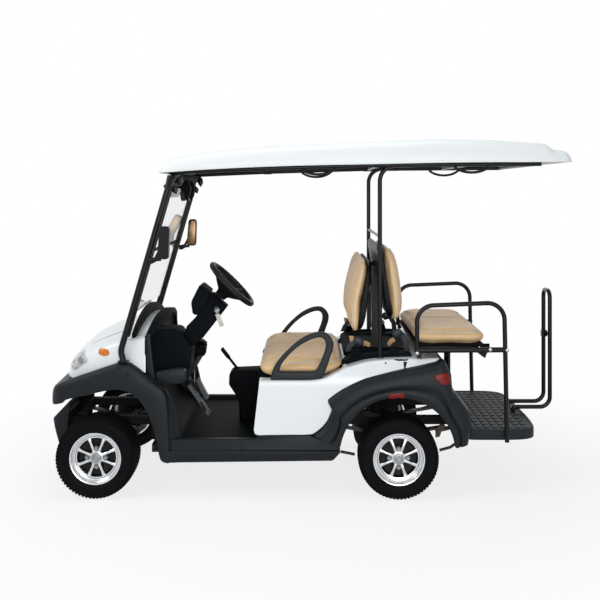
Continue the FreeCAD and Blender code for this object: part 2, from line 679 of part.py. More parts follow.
def floor_pan():
    """Floor with its toe board, the wall under the front seat and the seat's hinge lugs."""
    skin = FLOOR_SKIN
    wall_top = SEAT_BASE_Z - 8
    profile = [
        (fx(-270), 614), (fx(-270), 560, 30), (fx(-325), 380, 60), (fx(-440), FLOOR_Z, 60),
        (rx(SEAT_FRONT), FLOOR_Z), (rx(SEAT_FRONT - 20), wall_top),
        (rx(SEAT_FRONT - 20 - skin), wall_top), (rx(SEAT_FRONT - 20 - skin), FLOOR_Z - skin),
        (fx(-430), FLOOR_Z - skin, 60), (fx(-310), 370, 60), (fx(-254), 560, 30), (fx(-254), 614),
    ]
    floor = side_prism(profile, -FLOOR_HALF, FLOOR_HALF)
    return [fused([floor] + lid_hinge(-1) + lid_hinge(1))]


def sills():
    """Left and right sills, each a step lower outside than inside."""
    front = fx(KICK_START) - FIT
    low = side_prism([
        (front, 264), (front, SILL_BOTTOM + 4, 0), (front - 20, SILL_BOTTOM, 10),
        (rx(362), SILL_BOTTOM + 10, 30), (rx(322), 250, 20), (rx(322), 264),
    ], FLOOR_HALF + FIT, FRONT_HALF)
    high = side_prism([
        (front, 264), (front, SILL_TOP - FIT, 0), (rx(SEAT_FRONT + 4), SILL_TOP - FIT, 0),
        (rx(SEAT_FRONT + 10), 352), (rx(495), 352, 10), (rx(322), 296, 0), (rx(322), 264),
    ], FLOOR_HALF + FIT, FRONT_HALF - 14)
    return both_sides(fused([low, high]))


def brake_console():
    """Centre console in front of the seat, with the parking brake lever."""
    body = side_prism([
        (rx(SEAT_FRONT + FIT), FLOOR_Z), (rx(916), FLOOR_Z, 4), (rx(920), 430, 30), (rx(980), 520, 30),
        (rx(976), 604, 34), (rx(SEAT_FRONT + FIT), 612, 0),
    ], -66, 70)
    lever = rod((rx(925), 0, 596), (rx(1030), 0, 730), 8)
    grip = rod((rx(985), 0, 672), (rx(1030), 0, 730), 12)
    return [fused([body, lever, grip])]


# ---- rear body ---------------------------------------------------------------
# Side outlines, measured forward from the rear axle: place, height, corner radius.
SEAT_BEND = (430.0, 120.0)   # where the body rises under the seat, and its radius
SEAT_RISE = 64.0 / 130.0     # slope of the body behind that bend
BODY_SIDE = [
    (768, SEAT_BASE_Z, 0), (778, 540, 0), (798, 400, 0), (786, 357, 22), (487, 359, 26), (386, 440, 40),
    (370, 500, 12), (290, 600, 200), (0, 676, 700), (-205, 712, 60), (-238, 768, 16),
    (150, 756, 400), (300, 716, 200), (SEAT_BEND[0], SEAT_BASE_Z, SEAT_BEND[1]),
]
FLARE_SIDE = [
    (330, 302, 0), (470, 356, 0), (380, 474, 30), (372, 527, 10), (287, 622, 200),
    (0, 696, 700), (-207, 730, 40), (-246, 762, 16), (-286, 690, 60), (-292, 610, 40),
    (-392, 470, 30), (-398, 400, 30), (-378, 306, 16), (-312, 294, 0),
]
ARCH_CENTRE = (8.0, 250.0)
ARCH_R = 318.0
SEAT_RIM = BODY_HALF - 98.0             # half width of the opening under the front seat


def body_block(lift):
    """The rear body's side outline as a solid block, raised by lift."""
    side = [(rx(a), z + lift, r) for a, z, r in BODY_SIDE]
    return side_prism(side, -BODY_HALF, BODY_HALF)


def shoulder_profile(half, top):
    """End view of the rear body: upright sides leaning in towards the deck."""
    return [(-half, 200), (-half, 668, 60), (-half + 80, top, 10), (half - 80, top, 10),
            (half, 668, 60), (half, 200)]


def rear_body():
    """White tub: side panels joined by the rear deck, open for the seat and below."""
    side = [(rx(a), z, r) for a, z, r in BODY_SIDE]
    outer = body_block(0.0)
    outer = outer.common(end_prism(shoulder_profile(BODY_HALF, 800), rx(-400), rx(900)))
    inner = side_prism(inset(side, PANEL), -BODY_HALF + PANEL, BODY_HALF - PANEL)
    inner = inner.common(
        end_prism(shoulder_profile(BODY_HALF - PANEL, 800 - PANEL), rx(-400), rx(900)))
    shell = outer.cut(inner)
    reach = BODY_HALF - PANEL - 14
    below = side_prism([(x, z - 30, r) for x, z, r in side], -reach, reach)
    seat_hole = box(rx(310), rx(820), -SEAT_RIM, SEAT_RIM, 560, 800)
    front_hole = box(rx(700), rx(820), -SEAT_RIM, SEAT_RIM, 200, 800)
    return [shell.cut(below).cut(seat_hole).cut(front_hole)]


def flare_lean(grow):
    """End view of the left arch, upright below and leaning in above, grown outward."""
    inner_y = BODY_HALF + FIT
    out = FLARE_HALF + grow
    return end_prism([(inner_y - 60, 200), (out, 200), (out, 600, 40), (inner_y + 8 + grow, 800),
                      (inner_y - 60, 800)], rx(-500), rx(600))


def rear_flares():
    """Left and right black arches over the rear wheels."""
    side = [(rx(a), z, r) for a, z, r in FLARE_SIDE]
    arch = Part.makeCylinder(ARCH_R, 400, V(rx(ARCH_CENTRE[0]), 400, ARCH_CENTRE[1]), V(0, 1, 0))
    inner_y = BODY_HALF + FIT
    outer = side_prism(side, inner_y, FLARE_HALF).cut(arch).common(flare_lean(0.0))
    inner = side_prism(inset(side, PANEL), inner_y - 5, FLARE_HALF - PANEL)
    arch_in = Part.makeCylinder(ARCH_R + PANEL, 400,
                                V(rx(ARCH_CENTRE[0]), 400, ARCH_CENTRE[1]), V(0, 1, 0))
    inner = inner.cut(arch_in).common(flare_lean(-PANEL))
    return both_sides(outer.cut(inner))


SEAT_POST_X = -356.0         # two posts under the rear seat
SEAT_POST_Y = (-45.0, 45.0)
FOOT_TOP = 360.0
FOOT_REAR = -804.0
BOARD_SKIN = 12.0
BOARD_HALF = RAIL_Y - 32.0
BOARD_ARM_Y = (-180.0, 180.0)        # arms that carry the foot board
BOARD_ARM = 18.0                     # half width of an arm


def rear_valance():
    """Black rear panel between the arches, over the bumper."""
    wall = side_prism([
        (rx(-243), 752), (rx(-280), 690, 50), (rx(-286), 605, 40), (rx(-386), 468, 30),
        (rx(-392), 400, 30), (rx(-372), 300), (rx(-380), 298), (rx(-400), 400, 30),
        (rx(-394), 472, 30), (rx(-294), 608, 40), (rx(-288), 692, 50), (rx(-250), 760),
    ], -BODY_HALF, BODY_HALF)
    for y in SEAT_POST_Y:
        wall = wall.cut(rod((rx(SEAT_POST_X), y, FRAME_RAIL_Z), (rx(SEAT_POST_X), y, 700), TUBE_R + 2))
    for y in BOARD_ARM_Y:
        wall = wall.cut(box(rx(-420), rx(-360), y - BOARD_ARM - 1, y + BOARD_ARM + 1,
                            FRAME_RAIL_Z - 1, FOOT_TOP - BOARD_SKIN + 1))
    return [wall]


DECK_HALF = BACK_HALF - 22.0


def deck_tray():
    """Black moulded deck that carries both seat backs."""
    body = side_prism([
        (rx(288), 800, 16), (rx(298), 700, 0), (rx(-100), 740, 0), (rx(-100), 792, 6),
        (rx(40), 800, 10), (rx(120), 836, 14), (rx(240), 836, 20),
    ], -DECK_HALF, DECK_HALF)
    return [body.cut(body_block(FIT))]


def battery_pack():
    """Plain block for the six traction batteries under the front seat."""
    return [box(rx(370), rx(720), -380, 380, FRAME_RAIL_Z + FRAME_RAIL, 600)]


# ---- seats -------------------------------------------------------------------


PAN_FRONT = 772.0            # front seat pan, ahead of the rear axle
PAN_REAR = 305.0
PAN_T = 15.0


def pan_line(lift):
    """Side line of the seat base from front to rear, raised by lift."""
    low = SEAT_BASE_Z + lift
    return [(rx(PAN_FRONT), low, 0), (rx(SEAT_BEND[0]), low, SEAT_BEND[1]),
            (rx(PAN_REAR), low + SEAT_RISE * (SEAT_BEND[0] - PAN_REAR), 0)]


def front_seat_cushion():
    return [side_prism(pan_line(PAN_T + 2 * FIT) + [
        (rx(307), 752, 16), (rx(345), 764, 40), (rx(600), 758, 300), (rx(770), 744, 34),
    ], -SEAT_HALF, SEAT_HALF)]


def front_seat_pan():
    """Black tray under the front cushion, hinged along its front edge."""
    line = pan_line(FIT) + pan_line(FIT + PAN_T)[::-1]
    parts = [side_prism(line, -SEAT_HALF + 4, SEAT_HALF - 4)]
    hx, hz = rx(LID_HINGE[0]), LID_HINGE[1]
    for side in (-1, 1):
        y0 = side * LID_HINGE_Y - LID_BARREL
        y1 = y0 + 2 * LID_BARREL
        parts.append(rod((hx, y0, hz), (hx, y1, hz), LID_PIN_R + 4))
        parts.append(box(rx(PAN_FRONT - 8), hx, y0, y1, hz, hz + 6))
    bore = rod((hx, -SEAT_HALF, hz), (hx, SEAT_HALF, hz), LID_PIN_R + RUNNING_GAP)
    return [fused(parts).cut(bore)]


def hip_restraints():
    """Moulded loops at both ends of the front seat."""
    outer = [(rx(708), 640, 14), (rx(690), 740, 60), (rx(555), 880, 160), (rx(395), 940, 60),
             (rx(352), 860, 90), (rx(425), 640, 60)]
    inner = [(rx(655), 698, 22), (rx(630), 752, 60), (rx(520), 850, 120), (rx(410), 890, 34),
             (rx(402), 830, 60), (rx(462), 698, 40)]
    loop = side_prism(outer, SEAT_HALF + 5, SEAT_HALF + 38)
    loop = loop.cut(side_prism(inner, SEAT_HALF, SEAT_HALF + 50)).cut(body_block(FIT))
    return both_sides(loop)


# Seat backs: side outlines of the cushion and of its shell, measured from the rear axle.
FRONT_BACK = [
    (229, 893, 20), (262, 930, 60), (274, 1040, 200), (225, 1220, 140),
    (190, 1300, 30), (157, 1300, 12), (203, 1058, 0),
]
FRONT_SHELL = [
    (228, 889, 8), (202.5, 1058, 0), (156.5, 1300, 12), (140, 1296, 10),
    (150, 1150, 60), (170, 960, 40), (198, 885, 10),
]
REAR_BACK = [
    (2, 970, 16), (-38, 985, 40), (-48, 1070, 200), (-5, 1290, 120),
    (40, 1378, 30), (74, 1374, 12), (32, 1088, 0),
]
REAR_SHELL = [
    (3, 968, 8), (32.5, 1088, 0), (74.5, 1374, 12), (92, 1396, 16),
    (112, 1380, 20), (84, 1180, 60), (60, 1000, 40), (30, 960, 10),
]


def seat_back_block(side, top_radius):
    """A seat back's side outline across the cart, its upper and lower corners rounded."""
    heights = [z for a, z, r in side]
    low, high = min(heights), max(heights)
    block = side_prism([(rx(a), z, r) for a, z, r in side], -BACK_HALF, BACK_HALF)
    return block.common(end_prism([
        (-BACK_HALF, low, 40), (BACK_HALF, low, 40), (BACK_HALF, high, top_radius),
        (-BACK_HALF, high, top_radius)], rx(-100), rx(400)))


def front_seat_back():
    return [seat_back_block(FRONT_BACK, 60.0)]


def rear_seat_back():
    return [seat_back_block(REAR_BACK, 100.0)]


def seat_back_shells():
    """Moulded shells behind the two seat backs."""
    return [seat_back_block(FRONT_SHELL, 62.0), seat_back_block(REAR_SHELL, 108.0)]


def seat_back_frame():
    """Square posts between the two seat backs, standing on the deck."""
    deck = deck_tray()[0]
    deck.translate(V(0, 0, FIT))
    front_shell, rear_shell = seat_back_shells()
    front_shell.translate(V(-FIT, 0, 0))
    rear_shell.translate(V(FIT, 0, 0))
    posts = []
    for y in (-200.0, 200.0):
        post = fused([
            box(rx(86), rx(124), y - 19, y + 19, 801, 1250),
            box(rx(84), rx(165), y - 12, y + 12, 1100, 1140),
            box(rx(72), rx(124), y - 12, y + 12, 1180, 1210)])
        posts.append(post.cut(deck).cut(front_shell).cut(rear_shell))
    return posts


SEAT_HINGE = (-505.0, 812.0)      # flip seat hinge: ahead of the rear axle, height
HINGE_TUBE_R = 10.0
REAR_SEAT_HALF = RAIL_Y - 52.0
PAN_BOTTOM = 811.0 + TUBE_R + FIT


def rear_seat_cushion():
    return [side_prism([
        (rx(-108), 838, 20), (rx(-104), 900, 40), (rx(-300), 924, 400), (rx(-440), 914, 60),
        (rx(-500), 866, 20), (rx(-500), 838, 10),
    ], -REAR_SEAT_HALF, REAR_SEAT_HALF)]


def rear_seat_pan():
    """Folded tray under the rear cushion; its underside is the cargo deck when flipped."""
    plate = side_prism([
        (rx(-112), 837.7), (rx(-108), PAN_BOTTOM), (rx(-488), PAN_BOTTOM), (rx(-488), 837.7)],
        -REAR_SEAT_HALF - 4, REAR_SEAT_HALF + 4)
    ear_y = REAR_SEAT_HALF - 18
    ears = [box(rx(-523), rx(-470), y - 4, y + 4, 797, 837) for y in (-ear_y, ear_y)]
    bore = rod((rx(SEAT_HINGE[0]), -600, SEAT_HINGE[1]), (rx(SEAT_HINGE[0]), 600, SEAT_HINGE[1]),
               HINGE_TUBE_R + RUNNING_GAP)
    return [fused([plate] + ears).cut(bore)]


def rear_seat_frame():
    """Arm rails that run down to the foot board, with side rails and cross tubes."""
    rail = bent_rod([
        (rx(-106), RAIL_Y, 800), (rx(-106), RAIL_Y, 1058), (rx(-590), RAIL_Y, 1078),
        (rx(-606), RAIL_Y, 302)], TUBE_R, [95, 95])
    side = rod((rx(-106), RAIL_Y, 812), (rx(-595), RAIL_Y, 815), TUBE_R + 2)
    hinge = rod((rx(SEAT_HINGE[0]), -RAIL_Y, SEAT_HINGE[1]), (rx(SEAT_HINGE[0]), RAIL_Y, SEAT_HINGE[1]),
                HINGE_TUBE_R)
    front = rod((rx(-125), -RAIL_Y, 811), (rx(-125), RAIL_Y, 811), TUBE_R)
    under = rx(SEAT_POST_X)
    posts = [rod((under, y, FRAME_RAIL_Z + FRAME_RAIL + FIT), (under, y, 811), TUBE_R)
             for y in SEAT_POST_Y]
    carry = rod((under, -RAIL_Y, 811), (under, RAIL_Y, 811), TUBE_R)
    feet = [box(rx(-130), rx(-104), s * RAIL_Y - 13, s * RAIL_Y + 13, 770, 812) for s in (-1, 1)]
    return [fused([rail, mirrored(rail), side, mirrored(side), hinge, front, carry] + posts + feet)]


def foot_board():
    """Rear foot board with a cropped plan and a turned-down edge."""
    half = BOARD_HALF
    near = [(rx(FOOT_REAR), half - 278, 60), (rx(FOOT_REAR + 20), half - 108, 60),
            (rx(-600), half, 60), (rx(-402), half - 8, 0)]
    plan = [(x, -y, r) for x, y, r in reversed(near)] + near
    board = plan_prism(plan, 304, FOOT_TOP)
    under = FOOT_TOP - BOARD_SKIN
    hollow = plan_prism(inset(plan, BOARD_SKIN), 290, under)
    arms = [box(rx(-780), rx(FRAME_TAIL), y - BOARD_ARM, y + BOARD_ARM, FRAME_RAIL_Z, under)
            for y in BOARD_ARM_Y]
    return [fused([board.cut(hollow)] + arms)]


BAR_HALF = 70.0              # grab bar, half width between its tubes
BAR_LOW = FOOT_TOP + 28      # its lower run over the foot board
BAR_TOP = 1088.0
BAR_CROSS_Z = 824.0


def grab_bar():
    """Tall narrow hoop behind the foot board, its feet standing on the board."""
    x = rx(-TAIL_OVERHANG + TUBE_R)
    foot = rx(FOOT_REAR + 60)
    stand = FOOT_TOP + FIT
    hoop = bent_rod([
        (foot, BAR_HALF, stand), (foot, BAR_HALF, BAR_LOW), (x, BAR_HALF, BAR_LOW),
        (x, BAR_HALF, BAR_TOP), (x, -BAR_HALF, BAR_TOP), (x, -BAR_HALF, BAR_LOW),
        (foot, -BAR_HALF, BAR_LOW), (foot, -BAR_HALF, stand)], TUBE_R, [16, 60, 45, 45, 60, 16])
    cross = rod((x, -BAR_HALF, BAR_CROSS_Z), (x, BAR_HALF, BAR_CROSS_Z), 9)
    catch = box(x, x + 34, -14, 14, BAR_CROSS_Z - 19, BAR_CROSS_Z + 18)
    return [fused([hoop, cross, catch])]


# ---- roof --------------------------------------------------------------------
ROOF_HALF = RAIL_OUT + TUBE_R + 32.3
# Roof sections: X place, half width, edge height, shoulder height, crown height.
ROOF_SECTIONS = [
    (fx(-330), ROOF_HALF - 35, 1797, 1803, 1806),
    (fx(-372), ROOF_HALF - 15, 1800, 1872, 1880),
    (fx(-560), ROOF_HALF - 3, 1812, 1908, 1920),
    (rx(540), ROOF_HALF, 1837, 1958, 1974),
    (rx(-240), ROOF_HALF, 1853, 1990, 2008),
    (rx(-700), ROOF_HALF, 1856, 1974, 1990),
    (rx(-846), ROOF_HALF - 3, 1857, 1960, 1972),
    (rx(-880), ROOF_HALF - 5, 1857, 1928, 1934),
    (rx(-948), ROOF_HALF - 15, 1857, 1922, 1926),
    (rx(-972), ROOF_HALF - 35, 1858, 1866, 1868),
]
ROOF_SKIN = 16.0
ROOF_SHOULDER = 96.0         # from the roof's side to its shoulder


def roof_section(x, half, edge, shoulder, crown):
    """A closed roof section: side, rounded shoulder and a crowned middle."""
    rise = shoulder - edge
    side = [V(x, half, edge), V(x, half - 6, edge + 0.4 * rise),
            V(x, half - 0.3 * ROOF_SHOULDER, edge + 0.82 * rise),
            V(x, half - ROOF_SHOULDER, shoulder)]
    far = [V(x, -p.y, p.z) for p in side]
    return Part.Wire([
        Part.LineSegment(side[0], side[1]).toShape(),
        Part.Arc(side[1], side[2], side[3]).toShape(),
        Part.Arc(side[3], V(x, 0, crown), far[3]).toShape(),
        Part.Arc(far[3], far[2], far[1]).toShape(),
        Part.LineSegment(far[1], far[0]).toShape(),
        Part.LineSegment(far[0], side[0]).toShape(),
    ])


def roof():
    """Moulded canopy: a rim all round and a crowned middle, hollow below."""
    outer = Part.makeLoft([roof_section(*row) for row in ROOF_SECTIONS], True, True)
    hollow = []
    for x, half, edge, shoulder, crown in ROOF_SECTIONS[1:-1]:
        hollow.append(roof_section(x, half - ROOF_SKIN, edge - 10, shoulder - ROOF_SKIN,
                                   crown - ROOF_SKIN))
    return [outer.cut(Part.makeLoft(hollow, True, True))]


# Tops of the rails, close under the roof's edge: X place, height.
RAIL_TOPS = [(fx(-395), 1812.7), (fx(-900), 1834.7), (rx(100), 1854.7), (rx(-800), 1860.7)]
RAIL_LINE = [(x, top - TUBE_R) for x, top in RAIL_TOPS]
HANDLES = [rx(443.0), rx(-413.0)]


def rail_height(x):
    """Height of the roof side rails at x."""
    for (xa, za), (xb, zb) in zip(RAIL_LINE, RAIL_LINE[1:]):
        if xb <= x <= xa:
            return za + (zb - za) * (x - xa) / (xb - xa)
    raise ValueError("no roof rail at this place")


CROSS_BAR_R = 11.0
SLEEVE = 26.0                # half length of a sleeve that joins two rail tubes
SLEEVE_GAP = 4.0


def roof_frame():
    """Side rails under the roof, sleeved where they bend, with cross bars."""
    tubes = []
    for (xa, za), (xb, zb) in zip(RAIL_LINE, RAIL_LINE[1:]):
        a, b = V(xa, RAIL_OUT, za), V(xb, RAIL_OUT, zb)
        run = (b - a).normalize() * SLEEVE_GAP
        start = a if xa == RAIL_LINE[0][0] else a + run
        end = b if xb == RAIL_LINE[-1][0] else b - run
        tubes.append(rod(start, end, TUBE_R))
    for x, z in RAIL_LINE[1:-1]:
        tubes.append(rod((x - SLEEVE, RAIL_OUT, z), (x + SLEEVE, RAIL_OUT, z), TUBE_R + 3))
    rail = fused(tubes)
    places = (RAIL_LINE[0][0] - 16, rx(STRUT_X), rx(-400), RAIL_LINE[-1][0] + 16)
    bars = [rod((x, -RAIL_OUT, rail_height(x)), (x, RAIL_OUT, rail_height(x)), CROSS_BAR_R)
            for x in places]
    return [fused([rail, mirrored(rail)] + bars)]


HANDLE_HALF = 92.0           # half length of a grab handle
HANDLE_DROP = 30.0
HANDLE_SEAT = TUBE_R + FIT + 0.5     # from the rail's middle down to a handle's foot


def roof_handle(x):
    """Grab loop under the left rail, around x."""
    ends = [x + HANDLE_HALF, x - HANDLE_HALF]
    tops = [rail_height(e) - HANDLE_SEAT for e in ends]
    low = min(tops) - HANDLE_DROP
    loop = bent_rod([(ends[0], RAIL_OUT, tops[0]), (x + 50, RAIL_OUT, low),
                     (x - 50, RAIL_OUT, low), (ends[1], RAIL_OUT, tops[1])], 6.0, 60)
    feet = []
    for end, top in zip(ends, tops):
        feet.append(box(end - 12, end + 12, RAIL_OUT - 8, RAIL_OUT + 8, top - 5, top))
    rail = rod((x + 120, RAIL_OUT, rail_height(x + 120)), (x - 120, RAIL_OUT, rail_height(x - 120)),
               TUBE_R + FIT)
    return fused([loop] + feet).cut(rail)


def roof_handles():
    """Four grab loops under the side rails."""
    return [shape for x in HANDLES for shape in both_sides(roof_handle(x))]


def windscreen_posts():
    """Front posts from the fascia to the roof, joined by a header."""
    post = bent_rod([
        (fx(-152), POST_Y, 742), (fx(-134), POST_Y, 812), (fx(-393), POST_Y, 1706),
        (fx(-405), POST_Y - 20, 1780)], POST_R, [90, 40])
    header = rod((fx(-398), -POST_Y + 8, HEADER_Z), (fx(-398), POST_Y - 8, HEADER_Z), HEADER_R)
    foot = box(fx(-178), fx(-122), POST_Y - 22, POST_Y + 17, 736, 758)
    posts = fused([post, mirrored(post), header, foot, mirrored(foot)])
    return [posts.cut(under_flange(FIT))]


def screen_x(z):
    """Where the plane of the windscreen posts lies at height z."""
    return fx(-134 - (z - 812.0) * (393.0 - 134.0) / (1706.0 - 812.0))


def screen_strip(z0, z1, half, front, deep):
    """A strip in the plane of the windscreen, its front face ahead of the plane by front."""
    return side_prism([(screen_x(z0) + front, z0), (screen_x(z0) + front - deep, z0),
                       (screen_x(z1) + front - deep, z1), (screen_x(z1) + front, z1)], -half, half)


HINGE_STRIP = (1353.0, 1371.0)       # bottom and top of the strip across the screen
TOP_GASKET = 13.0
SCREEN_TOP = HEADER_Z - HEADER_R - FIT - TOP_GASKET
SCREEN_HALF = POST_Y - 27.0
PANE_T = 5.0


def windscreen():
    """Clear screen in two panes with a hinge strip between them."""
    low, high = HINGE_STRIP
    return [screen_strip(1010.0, low - FIT, SCREEN_HALF, 0.0, PANE_T),
            screen_strip(high + FIT, SCREEN_TOP - FIT, SCREEN_HALF, 0.0, PANE_T)]


def screen_frame():
    """Gaskets of the windscreen: base, hinge strip and top edge."""
    strips = [screen_strip(*HINGE_STRIP, POST_Y - POST_R - FIT, 6.0, 14.0),
              screen_strip(SCREEN_TOP, SCREEN_TOP + TOP_GASKET, SCREEN_HALF, 6.0, 10.0)]
    base = Part.Face(arch_section(fx(-214), SCREEN_HALF - 10, 900, 1006, 870)).extrude(V(26, 0, 0))
    strips.append(base.cut(cowl_loft(-2 * FIT)))
    return strips


STRUT_CROSS_Z = 1440.0
STRUT_RUN = 190.0            # the struts' upper run under the canopy


def rear_struts():
    """Two bent tubes from the rear body to the roof rails."""
    x, run_end = rx(STRUT_X), rx(STRUT_X - STRUT_RUN)
    top = rail_height(run_end) - 2
    strut = bent_rod([(x, STRUT_Y, 745), (x, STRUT_Y, top), (run_end, STRUT_Y, top)], TUBE_R, [90])
    foot = box(x - 20, x + 20, STRUT_Y - 20, STRUT_Y + 20, 745, 768)
    hanger = rod((run_end + 10, STRUT_Y, top), (run_end + 10, RAIL_OUT - TUBE_R - FIT, top), 9)
    cross = rod((x, -STRUT_Y, STRUT_CROSS_Z), (x, STRUT_Y, STRUT_CROSS_Z), 9)
    left = [strut, foot, hanger]
    whole = fused(left + [mirrored(piece) for piece in left] + [cross])
    return [whole.cut(body_block(FIT))]


# ---- lamps and mirrors -------------------------------------------------------
LENS_T = 6.0


def headlamps():
    """Lenses that follow the cowl's corners."""
    outline = side_prism([(fx(98), 790), (fx(215), 720, 10), (fx(232), 668, 10), (fx(160), 672, 10),
                          (fx(66), 740, 10)], 250, 520)
    lens = outline.common(cowl_loft(-LENS_T)).cut(cowl_loft(-2 * FIT))
    return both_sides(lens)


def tail_lamps():
    lamp = side_prism([(rx(-190), 682, 0), (rx(-262), 700, 10), (rx(-284), 668, 10),
                       (rx(-284), 640, 10), (rx(-230), 640, 10)], FLARE_HALF - 60, FLARE_HALF + 10)
    lamp = lamp.common(flare_lean(4.0)).cut(flare_lean(FIT))
    return both_sides(lamp)


MIRROR_Z = 1318.0            # where the mirror arms leave the posts


def side_mirror():
    """Left mirror on its arm from the windscreen post."""
    x = screen_x(MIRROR_Z)
    arm = rod((x - 6, POST_Y + 10, MIRROR_Z), (x - 50, POST_Y + 40, MIRROR_Z + 6), 9)
    stem = rod((x - 50, POST_Y + 40, MIRROR_Z + 4), (x - 80, POST_Y + 46, MIRROR_Z + 60), 8)
    head = side_prism([(x - 66, MIRROR_Z + 6, 16), (x - 128, MIRROR_Z + 6, 16),
                       (x - 134, MIRROR_Z + 186, 20), (x - 80, MIRROR_Z + 186, 20)],
                      POST_Y + 32, POST_Y + 70)
    post = rod((screen_x(MIRROR_Z - 80), POST_Y, MIRROR_Z - 80),
               (screen_x(MIRROR_Z + 80), POST_Y, MIRROR_Z + 80), POST_R + FIT)
    return fused([arm, stem, head]).cut(post)


def inner_mirror():
    """Wide rear-view mirror hung from the windscreen header."""
    x = fx(-412)
    glass = side_prism([(x - 26, 1640, 8), (x - 2, 1634, 8), (x + 8, 1690, 8), (x - 16, 1696, 8)],
                       -150, 150)
    stay = rod((x, 0, 1670), (x, 0, HEADER_Z - HEADER_R + 2), 6)
    return fused([glass, stay])


def mirrors():
    """Two side mirrors and the inner one."""
    return both_sides(side_mirror()) + [inner_mirror()]


NODES = {
    "chassis_frame": chassis,
    "front_axle_beam": front_axle,
    "rear_drive_axle": rear_axle,
    "leaf_springs": springs,
    "steering_rack": steering_rack,
    "tie_rods": tie_rods,
    "front_fascia": front_fascia,
    "front_cowl": front_cowl,
    "chin_guard": chin_guard,
    "dashboard": dashboard,
    "steering_column": steering_column,
    "steering_wheel": steering_wheel,
    "pedals": pedals,
    "floor_pan": floor_pan,
    "sills": sills,
    "brake_console": brake_console,
    "rear_body": rear_body,
    "rear_flares": rear_flares,
    "rear_valance": rear_valance,
    "rear_deck": deck_tray,
    "battery_pack": battery_pack,
    "front_seat_cushion": front_seat_cushion,
    "front_seat_pan": front_seat_pan,
    "hip_restraints": hip_restraints,
    "seat_back_frame": seat_back_frame,
    "seat_back_shells": seat_back_shells,
    "front_seat_back": front_seat_back,
    "rear_seat_back": rear_seat_back,
    "rear_seat_cushion": rear_seat_cushion,
    "rear_seat_pan": rear_seat_pan,
    "rear_seat_frame": rear_seat_frame,
    "foot_board": foot_board,
    "grab_bar": grab_bar,
    "roof": roof,
    "roof_frame": roof_frame,
    "roof_handles": roof_handles,
    "windscreen_posts": windscreen_posts,
    "windscreen": windscreen,
    "windscreen_frame": screen_frame,
    "rear_struts": rear_struts,
    "headlamps": headlamps,
    "tail_lamps": tail_lamps,
    "mirrors": mirrors,
}


def build():
    nodes = {name: make() for name, make in NODES.items()}
    nodes["left_knuckle"] = [knuckle()]
    nodes["right_knuckle"] = [mirrored(knuckle())]
    nodes.update(wheel_nodes())
    return nodes


def main():
    os.makedirs("parts", exist_ok=True)
    for name, shapes in build().items():
        solids = [s for shape in shapes for s in shape.Solids]
        whole = solids[0] if len(solids) == 1 else Part.makeCompound(solids)
        whole.exportStep(f"parts/{name}.step")
        b = whole.BoundBox
        print(f"{name:22s} solids {len(solids)} valid {whole.isValid()} "
              f"x {b.XMin:.0f}..{b.XMax:.0f} y {b.YMin:.0f}..{b.YMax:.0f} z {b.ZMin:.0f}..{b.ZMax:.0f}")


main()
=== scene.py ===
# %% [markdown]
# # A four-seat golf cart, finished in Blender
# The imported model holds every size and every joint. This lesson loads it as a fixed frame and
# gives it its looks: moulded body panels, vinyl seats, tyres, alloy wheels and bent steel
# tubes. Everything is in metres, +X forward, +Y to the driver's left and +Z up.

# %% Load the frame
import json
import math

import bmesh
import bpy
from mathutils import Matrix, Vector
from mathutils.bvhtree import BVHTree

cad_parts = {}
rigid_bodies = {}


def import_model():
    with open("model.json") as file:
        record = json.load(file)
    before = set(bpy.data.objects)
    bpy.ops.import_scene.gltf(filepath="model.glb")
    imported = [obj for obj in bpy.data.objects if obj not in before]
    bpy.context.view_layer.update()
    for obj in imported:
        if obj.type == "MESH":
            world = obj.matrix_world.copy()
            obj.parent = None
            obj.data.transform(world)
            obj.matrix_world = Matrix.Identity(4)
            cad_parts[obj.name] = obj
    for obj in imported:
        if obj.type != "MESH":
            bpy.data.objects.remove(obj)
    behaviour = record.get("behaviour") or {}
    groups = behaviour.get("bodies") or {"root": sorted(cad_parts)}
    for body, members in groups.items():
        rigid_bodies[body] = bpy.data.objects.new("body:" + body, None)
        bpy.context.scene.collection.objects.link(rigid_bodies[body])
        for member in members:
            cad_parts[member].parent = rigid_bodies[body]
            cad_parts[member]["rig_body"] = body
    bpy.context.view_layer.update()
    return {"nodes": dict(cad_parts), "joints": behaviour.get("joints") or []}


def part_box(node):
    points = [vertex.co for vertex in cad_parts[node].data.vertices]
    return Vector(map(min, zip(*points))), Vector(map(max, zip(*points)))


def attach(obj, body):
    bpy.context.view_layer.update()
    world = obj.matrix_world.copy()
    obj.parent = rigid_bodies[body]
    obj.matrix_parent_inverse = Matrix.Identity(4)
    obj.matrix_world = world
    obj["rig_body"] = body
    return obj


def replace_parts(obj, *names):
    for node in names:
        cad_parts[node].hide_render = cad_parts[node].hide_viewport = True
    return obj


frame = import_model()
NODES = frame["nodes"]

# %% [markdown]
# Two axles place everything. A piece of the front body is measured from the front axle and a
# piece of the rear body from the rear axle, in millimetres, because that is how a body builder
# would mark them. A few small functions turn such places into places on the cart.

# %% Axles and units
MM = 0.001


def middle(node):
    """The middle of a node's box."""
    low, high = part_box(node)
    return (low + high) / 2


FRONT_AXLE = middle("front_left_tyre").x
REAR_AXLE = middle("rear_left_tyre").x


def fx(ahead):
    """An X place in metres, from millimetres ahead of the front axle."""
    return FRONT_AXLE + ahead * MM


def rx(ahead):
    """An X place in metres, from millimetres ahead of the rear axle."""
    return REAR_AXLE + ahead * MM


def front(places):
    """Outline points in cart millimetres, from (ahead of the front axle, height) points."""
    return [(fx(x) / MM, z) for x, z in places]


def rear(places):
    """Outline points in cart millimetres, from (ahead of the rear axle, height) points."""
    return [(rx(x) / MM, z) for x, z in places]


def angles(count):
    """That many even angles round a circle."""
    return [2 * math.pi * step / count for step in range(count)]


